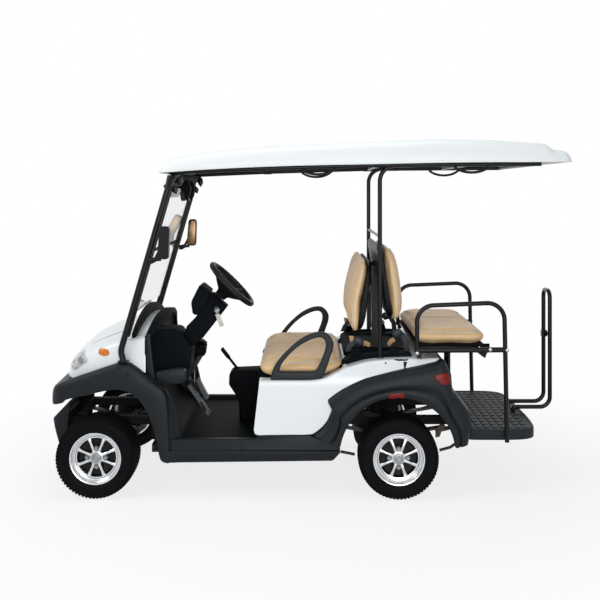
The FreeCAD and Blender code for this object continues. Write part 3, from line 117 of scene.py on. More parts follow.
def half_width(node):
    """How far a node reaches to the left, in millimetres."""
    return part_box(node)[1].y / MM


print("axles at", round(FRONT_AXLE, 3), round(REAR_AXLE, 3))

# %% [markdown]
# The camera stands level beside the cart, a little taller than its seats, with a normal lens.
# The shift only slides the frame, so upright tubes stay upright.

# %% Camera
def new_object(name, data):
    """An object in the scene that shows a mesh, a curve, a camera or a lamp."""
    thing = bpy.data.objects.new(name, data)
    bpy.context.scene.collection.objects.link(thing)
    return thing


def add_camera():
    """The level side camera."""
    data = bpy.data.cameras.new("side_camera")
    data.lens = 51.6
    data.sensor_width = 36.0
    data.shift_x = -0.0117
    data.shift_y = -0.1833
    data.dof.use_dof = False
    camera = new_object("side_camera", data)
    camera.location = (fx(-1165), 5.285, 1.702)
    camera.rotation_euler = (math.radians(90), 0, math.radians(180))
    bpy.context.scene.camera = camera
    return camera


bpy.context.scene.view_settings.view_transform = "Standard"
print("camera", add_camera().name)

# %% [markdown]
# A colour is written as the sRGB hex value that a painter's chart would give, and Blender's
# shaders want linear light, so one function turns one into the other. A second small function
# adds a node with its settings and its links. Every material below is made with these two.

# %% Colours and nodes
def linear(hex_colour):
    """An sRGB hex colour as linear RGBA."""
    shown = [int(hex_colour[i:i + 2], 16) / 255 for i in (0, 2, 4)]
    light = [c / 12.92 if c <= 0.04045 else ((c + 0.055) / 1.055) ** 2.4 for c in shown]
    return (*light, 1.0)


def add_node(tree, kind, inputs=None, **settings):
    """Add a node. settings are its properties, inputs are values or sockets for its inputs."""
    node = tree.nodes.new(kind)
    for name, value in settings.items():
        setattr(node, name, value)
    for name, value in (inputs or {}).items():
        if isinstance(value, bpy.types.NodeSocket):
            tree.links.new(value, node.inputs[name])
        else:
            node.inputs[name].default_value = value
    return node


print("white is", [round(c, 3) for c in linear("FFFFFF")])

# %% [markdown]
# Most finishes here share a recipe: a base colour that drifts a little from place to place, a
# fine bump for the grain of the mould or the paint, and dust or rubbing that lightens some
# spots. The recipe takes the real size of the grain in millimetres and places the pattern in
# the object's own space, so a tube and a panel get the same grain. Single values, such as
# roughness, are set on the shader itself, and only colour and bump come through nodes.

# %% Material recipe
DUST = "8C8375"
DUST_SCALE = 60.0
GRAIN_DEPTH_MM = 0.3
NOISE, CELLS = "ShaderNodeTexNoise", "ShaderNodeTexVoronoi"
SOCKETS = {"ior": "IOR", "metal": "Metallic", "specular": "Specular IOR Level",
           "coat": "Coat Weight", "coat_rough": "Coat Roughness", "clear": "Transmission Weight"}


def finish(name, colour, roughness, grain_mm, bump, drift=0.08, drift_mm=180.0, dust=0.0,
           pattern=NOISE, **shader):
    """A Principled material: colour that drifts, spots of dust and a grain of a real size."""
    material = bpy.data.materials.new(name)
    material.use_nodes = True
    material.diffuse_color = linear(colour)
    tree = material.node_tree
    tree.nodes.clear()
    place = add_node(tree, "ShaderNodeTexCoord").outputs["Object"]
    soft = add_node(tree, NOISE, {"Vector": place, "Scale": 1000 / drift_mm, "Detail": 3.0})
    darker = [c * (1 - drift) for c in linear(colour)[:3]] + [1.0]
    lighter = [min(c * (1 + drift), 1.0) for c in linear(colour)[:3]] + [1.0]
    base = add_node(tree, "ShaderNodeMix", {
        "Factor": soft.outputs["Fac"], "A": darker, "B": lighter},
        data_type="RGBA").outputs["Result"]
    if dust:
        spots = add_node(tree, NOISE, {"Vector": place, "Scale": DUST_SCALE, "Detail": 6.0})
        spread = add_node(tree, "ShaderNodeMapRange", {
            "Value": spots.outputs["Fac"], "From Min": 0.45, "From Max": 0.75, "To Max": dust})
        base = add_node(tree, "ShaderNodeMix", {
            "Factor": spread.outputs["Result"], "A": base, "B": linear(DUST)},
            data_type="RGBA").outputs["Result"]
    grain = add_node(tree, pattern, {"Vector": place, "Scale": 1000 / grain_mm})
    height = grain.outputs["Distance" if pattern == CELLS else "Fac"]
    relief = add_node(tree, "ShaderNodeBump", {"Height": height, "Strength": bump,
                                               "Distance": GRAIN_DEPTH_MM * MM})
    inputs = {"Base Color": base, "Normal": relief.outputs["Normal"], "Roughness": roughness}
    inputs.update({SOCKETS[key]: value for key, value in shader.items()})
    surface = add_node(tree, "ShaderNodeBsdfPrincipled", inputs)
    add_node(tree, "ShaderNodeOutputMaterial", {"Surface": surface.outputs["BSDF"]})
    return material


print("recipe ready")

# %% [markdown]
# The painted and moulded finishes. Body panels are glossy ABS: IOR near 1.5, a clear coat, and
# an orange peel too soft to see as bumps but enough to break a reflection. The black arches and
# the dash are polypropylene from a grained mould, so they are much rougher, and the grain
# breaks up the gloss, so their specular level is low. Tubes are powder coated: satin, with a
# fine peel. Grains under a millimetre are drawn a little coarser than real, so that they still
# show.

# %% Paint and plastic
BODY_WHITE = finish("gloss_abs_white", "E6EBED", 0.32, 9.0, 0.03, 0.015, 400.0, ior=1.5, coat=0.35,
                    coat_rough=0.14)
CANOPY_WHITE = finish("canopy_abs_white", "E9EDEE", 0.38, 3.0, 0.08, 0.015, 500.0, ior=1.5)
GRAINED_BLACK = finish("grained_polypropylene", "191D21", 0.42, 3.2, 0.2, 0.12, 220.0, 0.002,
                       CELLS, ior=1.49, specular=0.16)
CABIN_BLACK = finish("cabin_polypropylene", "131619", 0.62, 2.6, 0.2, 0.15, 160.0, 0.0, CELLS,
                     ior=1.49, specular=0.02)
POWDER_COAT = finish("powder_coat_black", "0A0B0D", 0.27, 2.2, 0.12, 0.1, 140.0, 0.002, ior=1.5,
                     specular=0.2)
CHASSIS_BLACK = finish("chassis_paint", "0D0D0C", 0.6, 5.0, 0.3, 0.25, 90.0, 0.01, ior=1.5,
                       specular=0.15)
HARD_BLACK = finish("acetal_black", "0B0C0E", 0.35, 1.6, 0.1, 0.05, 60.0, ior=1.48, specular=0.2)
FLOOR_RUBBER = finish("floor_mat_rubber", "0E1113", 0.6, 2.4, 0.3, 0.18, 120.0, 0.002, ior=1.52,
                      specular=0.03)
LOOP_FOAM = finish("self_skinned_foam", "262A2C", 0.5, 1.8, 0.15, 0.1, 90.0, ior=1.5, specular=0.2)
BOARD_RUBBER = finish("moulded_foot_board", "23292D", 0.55, 2.4, 0.3, 0.15, 120.0, 0.004, ior=1.52,
                      specular=0.12)
BATTERY_CASE = finish("battery_case", "17191B", 0.6, 3.0, 0.2, ior=1.5)
print("paint and plastic:", len(bpy.data.materials), "materials")

# %% [markdown]
# Seats are upholstered in calendered vinyl: a soft sheet pressed with a pebble grain, so the
# light breaks over small cells. Its colour drifts slowly over the seat. Tyres are vulcanised
# rubber, greyer on the tread where they have rolled on dry ground. Webbing is woven polyester,
# a fine twill that only shows as a soft rib.

# %% Vinyl, rubber and webbing
SEAT_VINYL = finish("calendered_vinyl_tan", "E4C193", 0.44, 3.0, 0.3, 0.14, 70.0, 0.02, CELLS,
                    ior=1.52, specular=0.15)
PIPING_VINYL = finish("piping_vinyl", "C4C2BC", 0.45, 2.0, 0.2, 0.06, 60.0, ior=1.52)
SEAT_SHELL = finish("seat_shell_polypropylene", "0B0D0F", 0.4, 2.8, 0.2, 0.12, 150.0, 0.0, CELLS,
                    ior=1.49, specular=0.12)
TYRE_RUBBER = finish("vulcanised_rubber", "0A0B0D", 0.5, 1.8, 0.25, 0.2, 60.0, 0.002, ior=1.52,
                     specular=0.05)
TREAD_RUBBER = finish("worn_tread_rubber", "0F0E0C", 0.8, 2.4, 0.4, 0.25, 40.0, 0.01, ior=1.52,
                      specular=0.05)
GRIP_RUBBER = finish("grip_foam", "0C0D0F", 0.5, 1.6, 0.3, 0.1, 60.0, 0.0, CELLS, ior=1.5,
                     specular=0.25)
WEBBING = finish("woven_polyester_webbing", "343B42", 0.75, 2.2, 0.6, 0.15, 40.0, 0.01, ior=1.5)
PEDAL_RUBBER = finish("ribbed_pedal_rubber", "54595D", 0.6, 2.0, 0.3, 0.12, 40.0, 0.02, ior=1.52)
WEBBING_CLIP = finish("acetal_buckle", "23292F", 0.4, 1.6, 0.1, 0.1, 50.0, ior=1.48, specular=0.3)
TAN_WEBBING = finish("woven_polyester_tan", "B99466", 0.75, 2.2, 0.6, 0.15, 40.0, 0.02, ior=1.5)
print("soft finishes made")

# %% [markdown]
# Metals keep the shader's own IOR, and their colour is their reflection. A cast wheel is bright
# where a lathe has cut it and dull where the mould left it, so it takes two finishes. Bolts are
# zinc plated, and the springs are bare steel with oil and dirt on them.

# %% Metals
TURNED_ALLOY = finish("turned_aluminium", "D4D6D8", 0.2, 1.5, 0.04, 0.04, 60.0, metal=1.0)
CAST_ALLOY = finish("cast_aluminium", "8E9194", 0.45, 1.2, 0.3, 0.1, 40.0, 0.06, metal=1.0)
CHROME = finish("chrome_plate", "DADCDE", 0.08, 2.0, 0.01, 0.02, 60.0, metal=1.0)
ZINC = finish("zinc_plated_steel", "A4A6A8", 0.36, 1.4, 0.15, 0.12, 30.0, 0.08, metal=1.0)
SPRING_STEEL = finish("oiled_spring_steel", "4A4540", 0.5, 2.0, 0.3, 0.2, 40.0, 0.2, metal=0.8)
RUSTED_STEEL = finish("brown_primer", "44301F", 0.6, 2.0, 0.3, 0.25, 20.0, 0.1, ior=1.5)
# The mirror glass is coloured dark brown as a painted reflection, not the colour of silvered
# glass.
MIRROR_PAINTED_REFLECTION = finish("silvered_glass_painted_reflection", "7D664C", 0.3, 3.0, 0.0, 0.01, 90.0, metal=1.0)
LAMP_BEZEL = finish("satin_lamp_bezel", "C9CED1", 0.34, 2.0, 0.05, 0.05, 60.0, ior=1.5)
print("metals made")

# %% [markdown]
# The windscreen is cast acrylic and the lamps are moulded acrylic and polycarbonate. Light has
# to pass through, so these use transmission with the IOR of the plastic. The amber lens lets
# little light through and the red one none, because a moulded lens has fluting behind its face.

# %% Clear plastics
ACRYLIC = finish("cast_acrylic", "E6E7E6", 0.04, 5.0, 0.01, 0.01, 300.0, ior=1.49, clear=1.0,
                 specular=0.1)
CLEAR_LENS = finish("clear_polycarbonate", "F2F3F2", 0.06, 3.0, 0.03, 0.01, 80.0, ior=1.58,
                    clear=0.92)
RED_LENS = finish("red_acrylic_lens", "720804", 0.34, 4.0, 0.35, 0.06, 20.0, 0.0, CELLS, ior=1.49,
                  specular=0.25)
AMBER_LENS = finish("amber_acrylic_lens", "E07A1E", 0.12, 4.0, 0.35, 0.06, 20.0, 0.0, CELLS,
                    ior=1.49, clear=0.15)
print("clear plastics made,", len(bpy.data.materials), "materials in all")

# %% [markdown]
# The stage is a pale floor and open white air. The floor is an ordinary matt surface that takes
# the cart's shadow, mixed with plain white for what the camera and the bright metal see, so the
# shadow stays soft and the edge of the floor can't be told from the air behind it.

# %% Floor, air and lamps
FLOOR_RADIUS = 9.0
FLOOR_GAP = 0.0005


def seen_by_eye(tree):
    """1 for camera, glossy and transmission rays, 0 for the light that falls on things."""
    rays = add_node(tree, "ShaderNodeLightPath").outputs
    either = add_node(tree, "ShaderNodeMath", {0: rays["Is Camera Ray"], 1: rays["Is Glossy Ray"]},
                      operation="MAXIMUM").outputs[0]
    return add_node(tree, "ShaderNodeMath", {0: either, 1: rays["Is Transmission Ray"]},
                    operation="MAXIMUM").outputs[0]


def floor_finish():
    """Matt white that fades into plain white away from the cart."""
    material = bpy.data.materials.new("studio_floor")
    material.use_nodes = True
    tree = material.node_tree
    tree.nodes.clear()
    place = add_node(tree, "ShaderNodeTexCoord").outputs["Object"]
    far = add_node(tree, "ShaderNodeVectorMath", {0: place}, operation="LENGTH").outputs["Value"]
    plain = add_node(tree, "ShaderNodeMapRange", {"Value": far, "From Min": 1.5, "From Max": 2.9,
                                                  "To Min": 0.8, "To Max": 1.0})
    share = add_node(tree, "ShaderNodeMath", {0: plain.outputs["Result"], 1: seen_by_eye(tree)},
                     operation="MULTIPLY").outputs[0]
    matt = add_node(tree, "ShaderNodeBsdfDiffuse", {"Color": linear("FBFBFB")})
    white = add_node(tree, "ShaderNodeEmission", {"Color": linear("FFFFFF"), "Strength": 1.0})
    mixed = add_node(tree, "ShaderNodeMixShader",
                     {0: share, 1: matt.outputs[0], 2: white.outputs[0]})
    add_node(tree, "ShaderNodeOutputMaterial", {"Surface": mixed.outputs[0]})
    return material


def lay_floor():
    """A round floor under the cart."""
    mesh = bpy.data.meshes.new("studio_floor")
    shape = bmesh.new()
    bmesh.ops.create_circle(shape, cap_ends=True, segments=96, radius=FLOOR_RADIUS)
    shape.to_mesh(mesh)
    shape.free()
    mesh.materials.append(floor_finish())
    floor = new_object("studio_floor", mesh)
    floor.location = (0, 0, -FLOOR_GAP)


def fill_air(strength):
    """White air for the eye, and a softer sky for the light on the cart."""
    world = bpy.data.worlds.new("studio_air")
    world.use_nodes = True
    tree = world.node_tree
    tree.nodes.clear()
    soft = add_node(tree, "ShaderNodeBackground",
                    {"Color": linear("F3F7FC"), "Strength": strength})
    white = add_node(tree, "ShaderNodeBackground", {"Color": linear("FFFFFF"), "Strength": 1.0})
    mixed = add_node(tree, "ShaderNodeMixShader",
                     {0: seen_by_eye(tree), 1: soft.outputs[0], 2: white.outputs[0]})
    add_node(tree, "ShaderNodeOutputWorld", {"Surface": mixed.outputs[0]})
    bpy.context.scene.world = world


def hang_lamp(name, place, aim, side, watts):
    """A square soft box that looks at a point."""
    data = bpy.data.lights.new(name, "AREA")
    data.size = side
    data.energy = watts
    lamp = new_object(name, data)
    lamp.location = place
    lamp.rotation_euler = (Vector(aim) - Vector(place)).to_track_quat("-Z", "Y").to_euler()


lay_floor()
fill_air(0.34)
hang_lamp("front_soft_box", (4.2, 2.6, 4.2), (0.3, 0, 0.7), 2.6, 100)
hang_lamp("side_soft_box", (-0.8, 6.8, 1.7), (0, 0, 0.9), 3.2, 162)
hang_lamp("top_soft_box", (0.1, 0, 5.4), (0.1, 0, 0.9), 3.0, 70)
hang_lamp("far_soft_box", (-1.5, -4.8, 3.2), (0, 0, 0.9), 3.0, 26)
print("stage and", len(bpy.data.lights), "lamps")

# %% [markdown]
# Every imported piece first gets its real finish. Some pieces are redone as richer meshes later,
# and the rest, such as tubes and springs, already have the right shape and only need this.

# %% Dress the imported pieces
CORNERS = [f"{end}_{side}" for end in ("front", "rear") for side in ("left", "right")]
DRESS = {
    BODY_WHITE: ["front_cowl", "rear_body"],
    CANOPY_WHITE: ["roof"],
    GRAINED_BLACK: ["front_fascia", "chin_guard", "sills", "rear_flares", "rear_valance"],
    CABIN_BLACK: ["dashboard", "brake_console", "rear_deck", "front_seat_pan", "rear_seat_pan"],
    FLOOR_RUBBER: ["floor_pan", "foot_board", "windscreen_frame"],
    POWDER_COAT: ["seat_back_frame", "rear_seat_frame", "grab_bar", "roof_frame",
                  "windscreen_posts", "rear_struts"],
    CHASSIS_BLACK: ["chassis_frame", "front_axle_beam", "rear_drive_axle", "steering_rack",
                    "tie_rods", "left_knuckle", "right_knuckle"],
    HARD_BLACK: ["steering_column", "roof_handles", "mirrors", "pedals", "hip_restraints"],
    GRIP_RUBBER: ["steering_wheel"],
    SPRING_STEEL: ["leaf_springs"],
    SEAT_SHELL: ["seat_back_shells"],
    BATTERY_CASE: ["battery_pack"],
    SEAT_VINYL: ["front_seat_cushion", "front_seat_back", "rear_seat_cushion", "rear_seat_back"],
    ACRYLIC: ["windscreen"],
    CLEAR_LENS: ["headlamps"],
    RED_LENS: ["tail_lamps"],
    TYRE_RUBBER: [f"{corner}_tyre" for corner in CORNERS],
    TURNED_ALLOY: [f"{corner}_wheel" for corner in CORNERS],
}


def dress(node, material):
    """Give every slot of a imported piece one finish."""
    mesh = NODES[node].data
    if not mesh.materials:
        mesh.materials.append(material)
    for index in range(len(mesh.materials)):
        mesh.materials[index] = material


for material, dressed in DRESS.items():
    for node in dressed:
        dress(node, material)
print("dressed", sum(len(dressed) for dressed in DRESS.values()), "of", len(NODES))

# %% [markdown]
# Every new piece is made the same way: a shape is drawn in mesh code, becomes an object, gets a
# finish, and rides on the body that carries the real piece. Shading is smooth except over real
# edges, which the angle decides.

# %% From shape to piece
def finish_piece(name, mesh, material, slot, edge=50, body="cart"):
    """An object from a mesh, with its finish, smooth up to an edge angle, riding on a body."""
    mesh.materials.clear()
    mesh.materials.append(material)
    piece = new_object(name, mesh)
    shade(piece, edge)
    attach(piece, body)
    print(name, len(mesh.polygons), "faces")
    return piece


def weld(shape, distance_mm):
    """Join the points of a shape that lie closer than a distance."""
    bmesh.ops.remove_doubles(shape, verts=shape.verts, dist=distance_mm * MM)


def as_mesh(name, shape):
    """A mesh from a bmesh, with its faces turned outwards."""
    mesh = bpy.data.meshes.new(name)
    bmesh.ops.recalc_face_normals(shape, faces=shape.faces)
    shape.to_mesh(mesh)
    shape.free()
    return mesh


def make_piece(name, shape, material, slot, edge=50, body="cart"):
    """A finished piece from a bmesh."""
    return finish_piece(name, as_mesh(name, shape), material, slot, edge, body)


def shade(piece, edge):
    """Smooth shading that keeps edges sharper than the given angle."""
    piece.data.shade_smooth()
    piece.data.set_sharp_from_angle(angle=math.radians(edge))


def settle(piece, edge):
    """Apply every modifier of a piece, so that its mesh is final."""
    depsgraph = bpy.context.evaluated_depsgraph_get()
    done = bpy.data.meshes.new_from_object(piece.evaluated_get(depsgraph))
    piece.modifiers.clear()
    piece.data = done
    shade(piece, edge)
    return piece


print("piece makers ready")

# %% [markdown]
# Moulded plastic has no knife edges: the tool needs a radius at every corner to let the part
# go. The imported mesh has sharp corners, so a copy is cleaned into large faces and a bevel
# rounds each corner. A thin wall can only take a small radius, so every edge gets its own share
# of the radius from the narrower of the two faces beside it. With a radius of nothing the copy
# is only cleaned and smoothed, which is right for folded sheet and for large soft panels.

# %% Moulded corners
CORNER_DEGREES = 34
WALL_SHARE = 0.4


def narrowest(edge):
    """How far the narrower face beside an edge reaches from it."""
    a, b = (vert.co for vert in edge.verts)
    along = (b - a).normalized()
    reach = []
    for face in edge.link_faces:
        reach.append(max(((v.co - a) - along * (v.co - a).dot(along)).length for v in face.verts))
    return min(reach)


def moulded(node, radius_mm, material, slot):
    """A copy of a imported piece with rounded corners, which stands for it."""
    shape = bmesh.new()
    shape.from_mesh(NODES[node].data)
    weld(shape, 0.05)
    bmesh.ops.dissolve_limit(shape, angle_limit=math.radians(1.0), verts=shape.verts,
                             edges=shape.edges)
    share = shape.edges.layers.float.new("bevel_weight_edge")
    for edge in shape.edges:
        if (radius_mm and len(edge.link_faces) == 2
                and edge.calc_face_angle(0) > math.radians(CORNER_DEGREES)):
            edge[share] = min(1.0, WALL_SHARE * narrowest(edge) / (radius_mm * MM))
    piece = make_piece(f"{node}_moulded", shape, material, slot, 35, NODES[node]["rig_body"])
    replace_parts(piece, node)
    if radius_mm:
        bevel = piece.modifiers.new("corners", "BEVEL")
        bevel.limit_method = "WEIGHT"
        bevel.width = radius_mm * MM
        bevel.segments = 3
        bevel.use_clamp_overlap = False
        bevel.miter_outer = "MITER_ARC"
        settle(piece, 38)


MOULDINGS = [
    ("dashboard", 9, CABIN_BLACK, "black_body"), ("brake_console", 12, CABIN_BLACK, "black_body"),
    ("sills", 12, GRAINED_BLACK, "black_body"), ("floor_pan", 0, FLOOR_RUBBER, "floor_mat"),
    ("rear_valance", 6, GRAINED_BLACK, "black_body"),
    ("chin_guard", 0, GRAINED_BLACK, "black_body"), ("mirrors", 0, HARD_BLACK, "black_body"),
    ("steering_column", 8, CABIN_BLACK, "black_body"), ("pedals", 0, HARD_BLACK, "black_body"),
]
for row in MOULDINGS:
    moulded(*row)

# %% [markdown]
# The large panels are not boxes with rounded corners: each is a skin that changes its section
# from end to end. Such a skin can be sculpted, or drawn as a few sections with a smooth curve
# run through them. Sections are used here, because a short table of numbers says the whole
# shape. The curve is a centripetal Catmull-Rom, which passes through every section and does not
# swing out between two that lie close together.

# %% Skins through sections
def through(rows, steps):
    """Rows of numbers with smooth rows put between them."""
    rows = [tuple(float(v) for v in row) for row in rows]
    ends = [tuple(2 * a - b for a, b in zip(rows[0], rows[1]))]
    ends.append(tuple(2 * a - b for a, b in zip(rows[-1], rows[-2])))
    run = [ends[0]] + rows + [ends[1]]
    found = []
    for p0, p1, p2, p3 in zip(run, run[1:], run[2:], run[3:]):
        knots = [0.0]
        for a, b in ((p0, p1), (p1, p2), (p2, p3)):
            knots.append(knots[-1] + max(math.dist(a, b), 1e-6) ** 0.5)
        for step in range(steps):
            t = knots[1] + (knots[2] - knots[1]) * step / steps
            found.append(tuple(between(values, knots, t) for values in zip(p0, p1, p2, p3)))
    return found + [rows[-1]]


def between(values, knots, t):
    """One number of a centripetal Catmull-Rom span at t."""
    level = list(values)
    for gap in (1, 2):
        level = [(level[i] * (knots[i + gap] - t) + level[i + 1] * (t - knots[i]))
                 / (knots[i + gap] - knots[i]) for i in range(len(level) - 1)]
    return (level[0] * (knots[2] - t) + level[1] * (t - knots[1])) / (knots[2] - knots[1])


def skin(shape, rows, ring=False):
    """Faces between rows of points. ring joins the end of each row to its start."""
    grid = [[shape.verts.new(point) for point in row] for row in rows]
    for near, far in zip(grid, grid[1:]):
        count = len(near)
        for i in range(count if ring else count - 1):
            j = (i + 1) % count
            shape.faces.new((near[i], near[j], far[j], far[i]))
    return grid


def both_halves(shape):
    """Mirror a left half to the right and weld the two along the middle."""
    other = bmesh.ops.duplicate(shape, geom=shape.verts[:] + shape.edges[:] + shape.faces[:])
    for vert in (g for g in other["geom"] if isinstance(g, bmesh.types.BMVert)):
        vert.co.y = -vert.co.y
    weld(shape, 0.3)


print("a test row:", through([(0, 0), (1, 1), (2, 0)], 2))

# %% [markdown]
# The canopy is one large vacuum-formed sheet of ABS. It has a deep rim all round, a soft
# shoulder, a crowned middle that sheds rain, and a step down to a ledge at the tail. Each
# section below is its place, half width, and the heights of rim, shoulder and crown.

# %% Canopy
CANOPY = [
    (fx(-332), 503, 1797, 1804, 1806), (fx(-348), 512, 1798, 1824, 1829),
    (fx(-366), 518, 1799, 1851, 1858), (fx(-386), 522, 1800, 1874, 1884),
    (fx(-560), 532, 1812, 1908, 1921),
    (fx(-800), 534, 1825, 1936, 1951), (rx(540), 534, 1837, 1958, 1974),
    (rx(150), 534, 1845, 1976, 1993), (rx(-240), 534, 1853, 1989, 2007),
    (rx(-520), 534, 1856, 1984, 2001), (rx(-700), 534, 1856, 1974, 1990),
    (rx(-835), 532, 1857, 1961, 1974), (rx(-862), 531, 1857, 1938, 1947),
    (rx(-884), 530, 1857, 1929, 1935), (rx(-940), 521, 1857, 1924, 1929),
    (rx(-962), 508, 1858, 1902, 1905), (rx(-971), 500, 1858, 1866, 1868),
]
RIM_TO_SHOULDER = 96
GUTTER = 5.0
SHEET = 9


def canopy_ring(x, half, rim, shoulder, crown):
    """One closed section of the canopy: outside from left to right and back underneath."""
    rise = shoulder - rim
    side = [(half - 3, rim), (half, rim + 0.06 * rise), (half - 3, rim + 0.3 * rise),
            (half - 9, rim + 0.52 * rise), (half - 20, rim + 0.72 * rise),
            (half - 40, rim + 0.88 * rise), (half - 66, rim + 0.96 * rise)]
    inner = half - RIM_TO_SHOULDER
    gutter = GUTTER if rise > 60 else 0.0
    top = [(inner + 6, shoulder), (inner - 2, shoulder - gutter), (inner - 12, shoulder - gutter),
           (inner - 20, shoulder + 1)]
    for part in range(1, 9):
        y = (inner - 20) * (1 - part / 8)
        top.append((y, crown - (crown - shoulder) * (y / inner) ** 2))
    outside = side + top
    outside += [(-y, z) for y, z in reversed(outside[:-1])]
    under = [(y * (1 - SHEET / half), max(z - SHEET, rim + 0.5) if abs(y) < half - 4 else rim + 1)
             for y, z in reversed(outside)]
    return [Vector((x, y * MM, z * MM)) for y, z in outside + under]


shape = bmesh.new()
rings = skin(shape, [canopy_ring(*row) for row in through(
    [(x * 1000, *rest) for x, *rest in CANOPY], 5)], ring=True)
for ring in rings:
    for vert in ring:
        vert.co.x *= MM
for ring in (rings[0], rings[-1]):
    half = len(ring) // 2
    for i in range(half - 1):
        shape.faces.new((ring[i], ring[i + 1], ring[-2 - i], ring[-1 - i]))
canopy = make_piece("canopy_sheet", shape, CANOPY_WHITE, "roof_white", 40)
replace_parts(canopy, "roof")

# %% [markdown]
# The nose is a white shell over the front axle. Its sides stand nearly upright and turn over a
# soft shoulder into the bonnet. The table has the place, half width, and the heights of
# shoulder, crown and lower edge. The lower edge lies on the black bumper.

# %% Nose shell
NOSE = [
    (fx(266), 112, 594, 636, 590), (fx(258), 152, 612, 660, 594), (fx(240), 205, 636, 692, 603),
    (fx(205), 292, 682, 742, 616), (fx(165), 372, 722, 781, 630), (fx(105), 436, 772, 834, 652),
    (fx(50), 464, 797, 863, 672), (fx(0), 477, 817, 887, 690), (fx(-75), 488, 842, 914, 718),
    (fx(-160), 497, 868, 940, 750), (fx(-220), 502, 880, 950, 706), (fx(-262), 503, 887, 954, 676),
]


SHOULDER_IN = 24


def nose_row(x, half, shoulder, crown, low):
    """One section of the nose shell from its left edge to its right edge."""
    flat, start = half - SHOULDER_IN, shoulder + 3
    side = [(half, low), (half, (low + shoulder) / 2), (half - 1, shoulder - 26),
            (half - 4, shoulder - 14), (half - 12, shoulder - 4), (flat, start)]
    for part in range(1, 11):
        y = flat * math.cos(math.radians(9 * part))
        side.append((y, start + (crown - start) * (1 - (y / flat) ** 2)))
    side += [(-y, z) for y, z in reversed(side[:-1])]
    return [Vector((x * MM, y * MM, z * MM)) for y, z in side]


shape = bmesh.new()
rows = skin(shape, [nose_row(*row) for row in through(
    [(x * 1000, *rest) for x, *rest in NOSE], 4)])
shape.faces.new(rows[0])
nose = make_piece("nose_shell", shape, BODY_WHITE, "white_body")
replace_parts(nose, "front_cowl")

# %% [markdown]
# The black bumper and the arches are soft bands: a flange on top, a rolled shoulder, a face
# that bulges, and a lip that turns in over the wheel. A band is drawn between two lines, its
# upper one and its lower one, and every pair of points carries the same cross profile. The
# profile is a list of (share of the way down, millimetres out from the face). Each pair of
# points also says which way is out, and how much of the rolled shoulder it has.

# %% Bands
ROLL_ENDS = 0.6


def band(name, axle, pairs, outs, rolls, profile):
    """A black moulding on both sides between an upper and a lower line, measured from an axle:
    pairs holds (top xyz, low xyz) in mm, outs the way out (x, y), rolls the share of roll."""
    lines = [(axle(tx) / MM, ty, tz, axle(lx) / MM, ly, lz, *out, roll)
             for (tx, ty, tz, lx, ly, lz), out, roll in zip(pairs, outs, rolls)]
    rows = []
    for tx, ty, tz, lx, ly, lz, ox, oy, roll in through(lines, 5):
        top, low = Vector((tx, ty, tz)), Vector((lx, ly, lz))
        out = Vector((ox, oy, 0)).normalized()
        rows.append([(top.lerp(low, down) + out * reach * (roll if down < ROLL_ENDS else 1)) * MM
                     for down, reach in profile])
    shape = bmesh.new()
    skin(shape, rows)
    both_halves(shape)
    return make_piece(name, shape, GRAINED_BLACK, "black_body", 45)


BUMPER_SIDE = [
    (-404, 196, -392, 196.5), (-404, 203, -370, 202), (-404, 216, -357, 214),
    (-404, 250, -347, 244), (-404, 330, -334, 312), (-404, 430, -311, 402),
    (-403, 520, -277, 482), (-386, 588, -237, 541), (-342, 629, -190, 579),
    (-286, 667, -140, 597), (-222, 718, -85, 598), (-160, 750, -30, 588),
    (-60, 723, 40, 572), (60, 683, 110, 557),
]
BUMPER_NOSE = [
    (545, 150, 655, 175, 540), (533, 215, 632, 214, 518), (500, 250, 619, 250, 508),
    (420, 267, 611, 267, 506), (300, 278, 606, 278, 506), (150, 291, 601, 291, 506),
    (0, 298, 599, 298, 506),
]
BUMPER = [(tx, y, tz, lx, y, lz)
          for y, tx, tz, lx, lz in [(548, *row) for row in BUMPER_SIDE] + BUMPER_NOSE]
BUMPER_OUT = [(0, 1)] * 14 + [(0.12, 1), (0.4, 0.9), (0.8, 0.6), (0.98, 0.2), (1, 0.1), (1, 0.05),
                              (1, 0)]
BUMPER_ROLL = [0.1, 0.12, 0.15, 0.2, 0.3, 0.5, 0.8] + [1.0] * 14
BUMPER_PROFILE = [(0.0, -58), (0.0, -38), (0.012, -25), (0.05, -16), (0.12, -10), (0.25, -4),
                  (0.42, -1), (0.6, 0), (0.8, 0), (0.92, -1), (0.98, -4), (1.0, -12), (1.0, -50)]
bumper = band("bumper_skin", fx, BUMPER, BUMPER_OUT, BUMPER_ROLL, BUMPER_PROFILE)
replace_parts(bumper, "front_fascia")

# %% [markdown]
# Behind each front arch the bumper turns in towards the floor, a slanted panel that meets the
# sill. It is a second band whose upper line runs down the inner edge.

# %% Kick panels
KICK = [
    (-286, 548, 664, -286, 540, 655), (-330, 544, 637, -318, 548, 640),
    (-392, 534, 596, -352, 548, 617), (-424, 518, 528, -388, 548, 580),
    (-450, 506, 430, -402, 548, 500), (-466, 499, 370, -404, 548, 400),
    (-477, 492, 326, -404, 548, 326),
]
KICK_PROFILE = [(0.0, -14), (0.0, -2), (0.06, 1), (0.2, 0), (0.5, -3), (0.8, -2), (1.0, -2)]
band("kick_panels", fx, KICK, [(-0.6, 0.8)] * 7, [1.0] * 7, KICK_PROFILE)

# %% [markdown]
# The rear arches are separate mouldings screwed to the white body. Their face has two parts: a
# full upper face that leans in to the body, and an eyebrow over the wheel, with a shallow
# groove between them. The lip is a circle round the wheel, so each row of the table is the
# upper point (ahead, height) and the angle of its lip point round that circle.

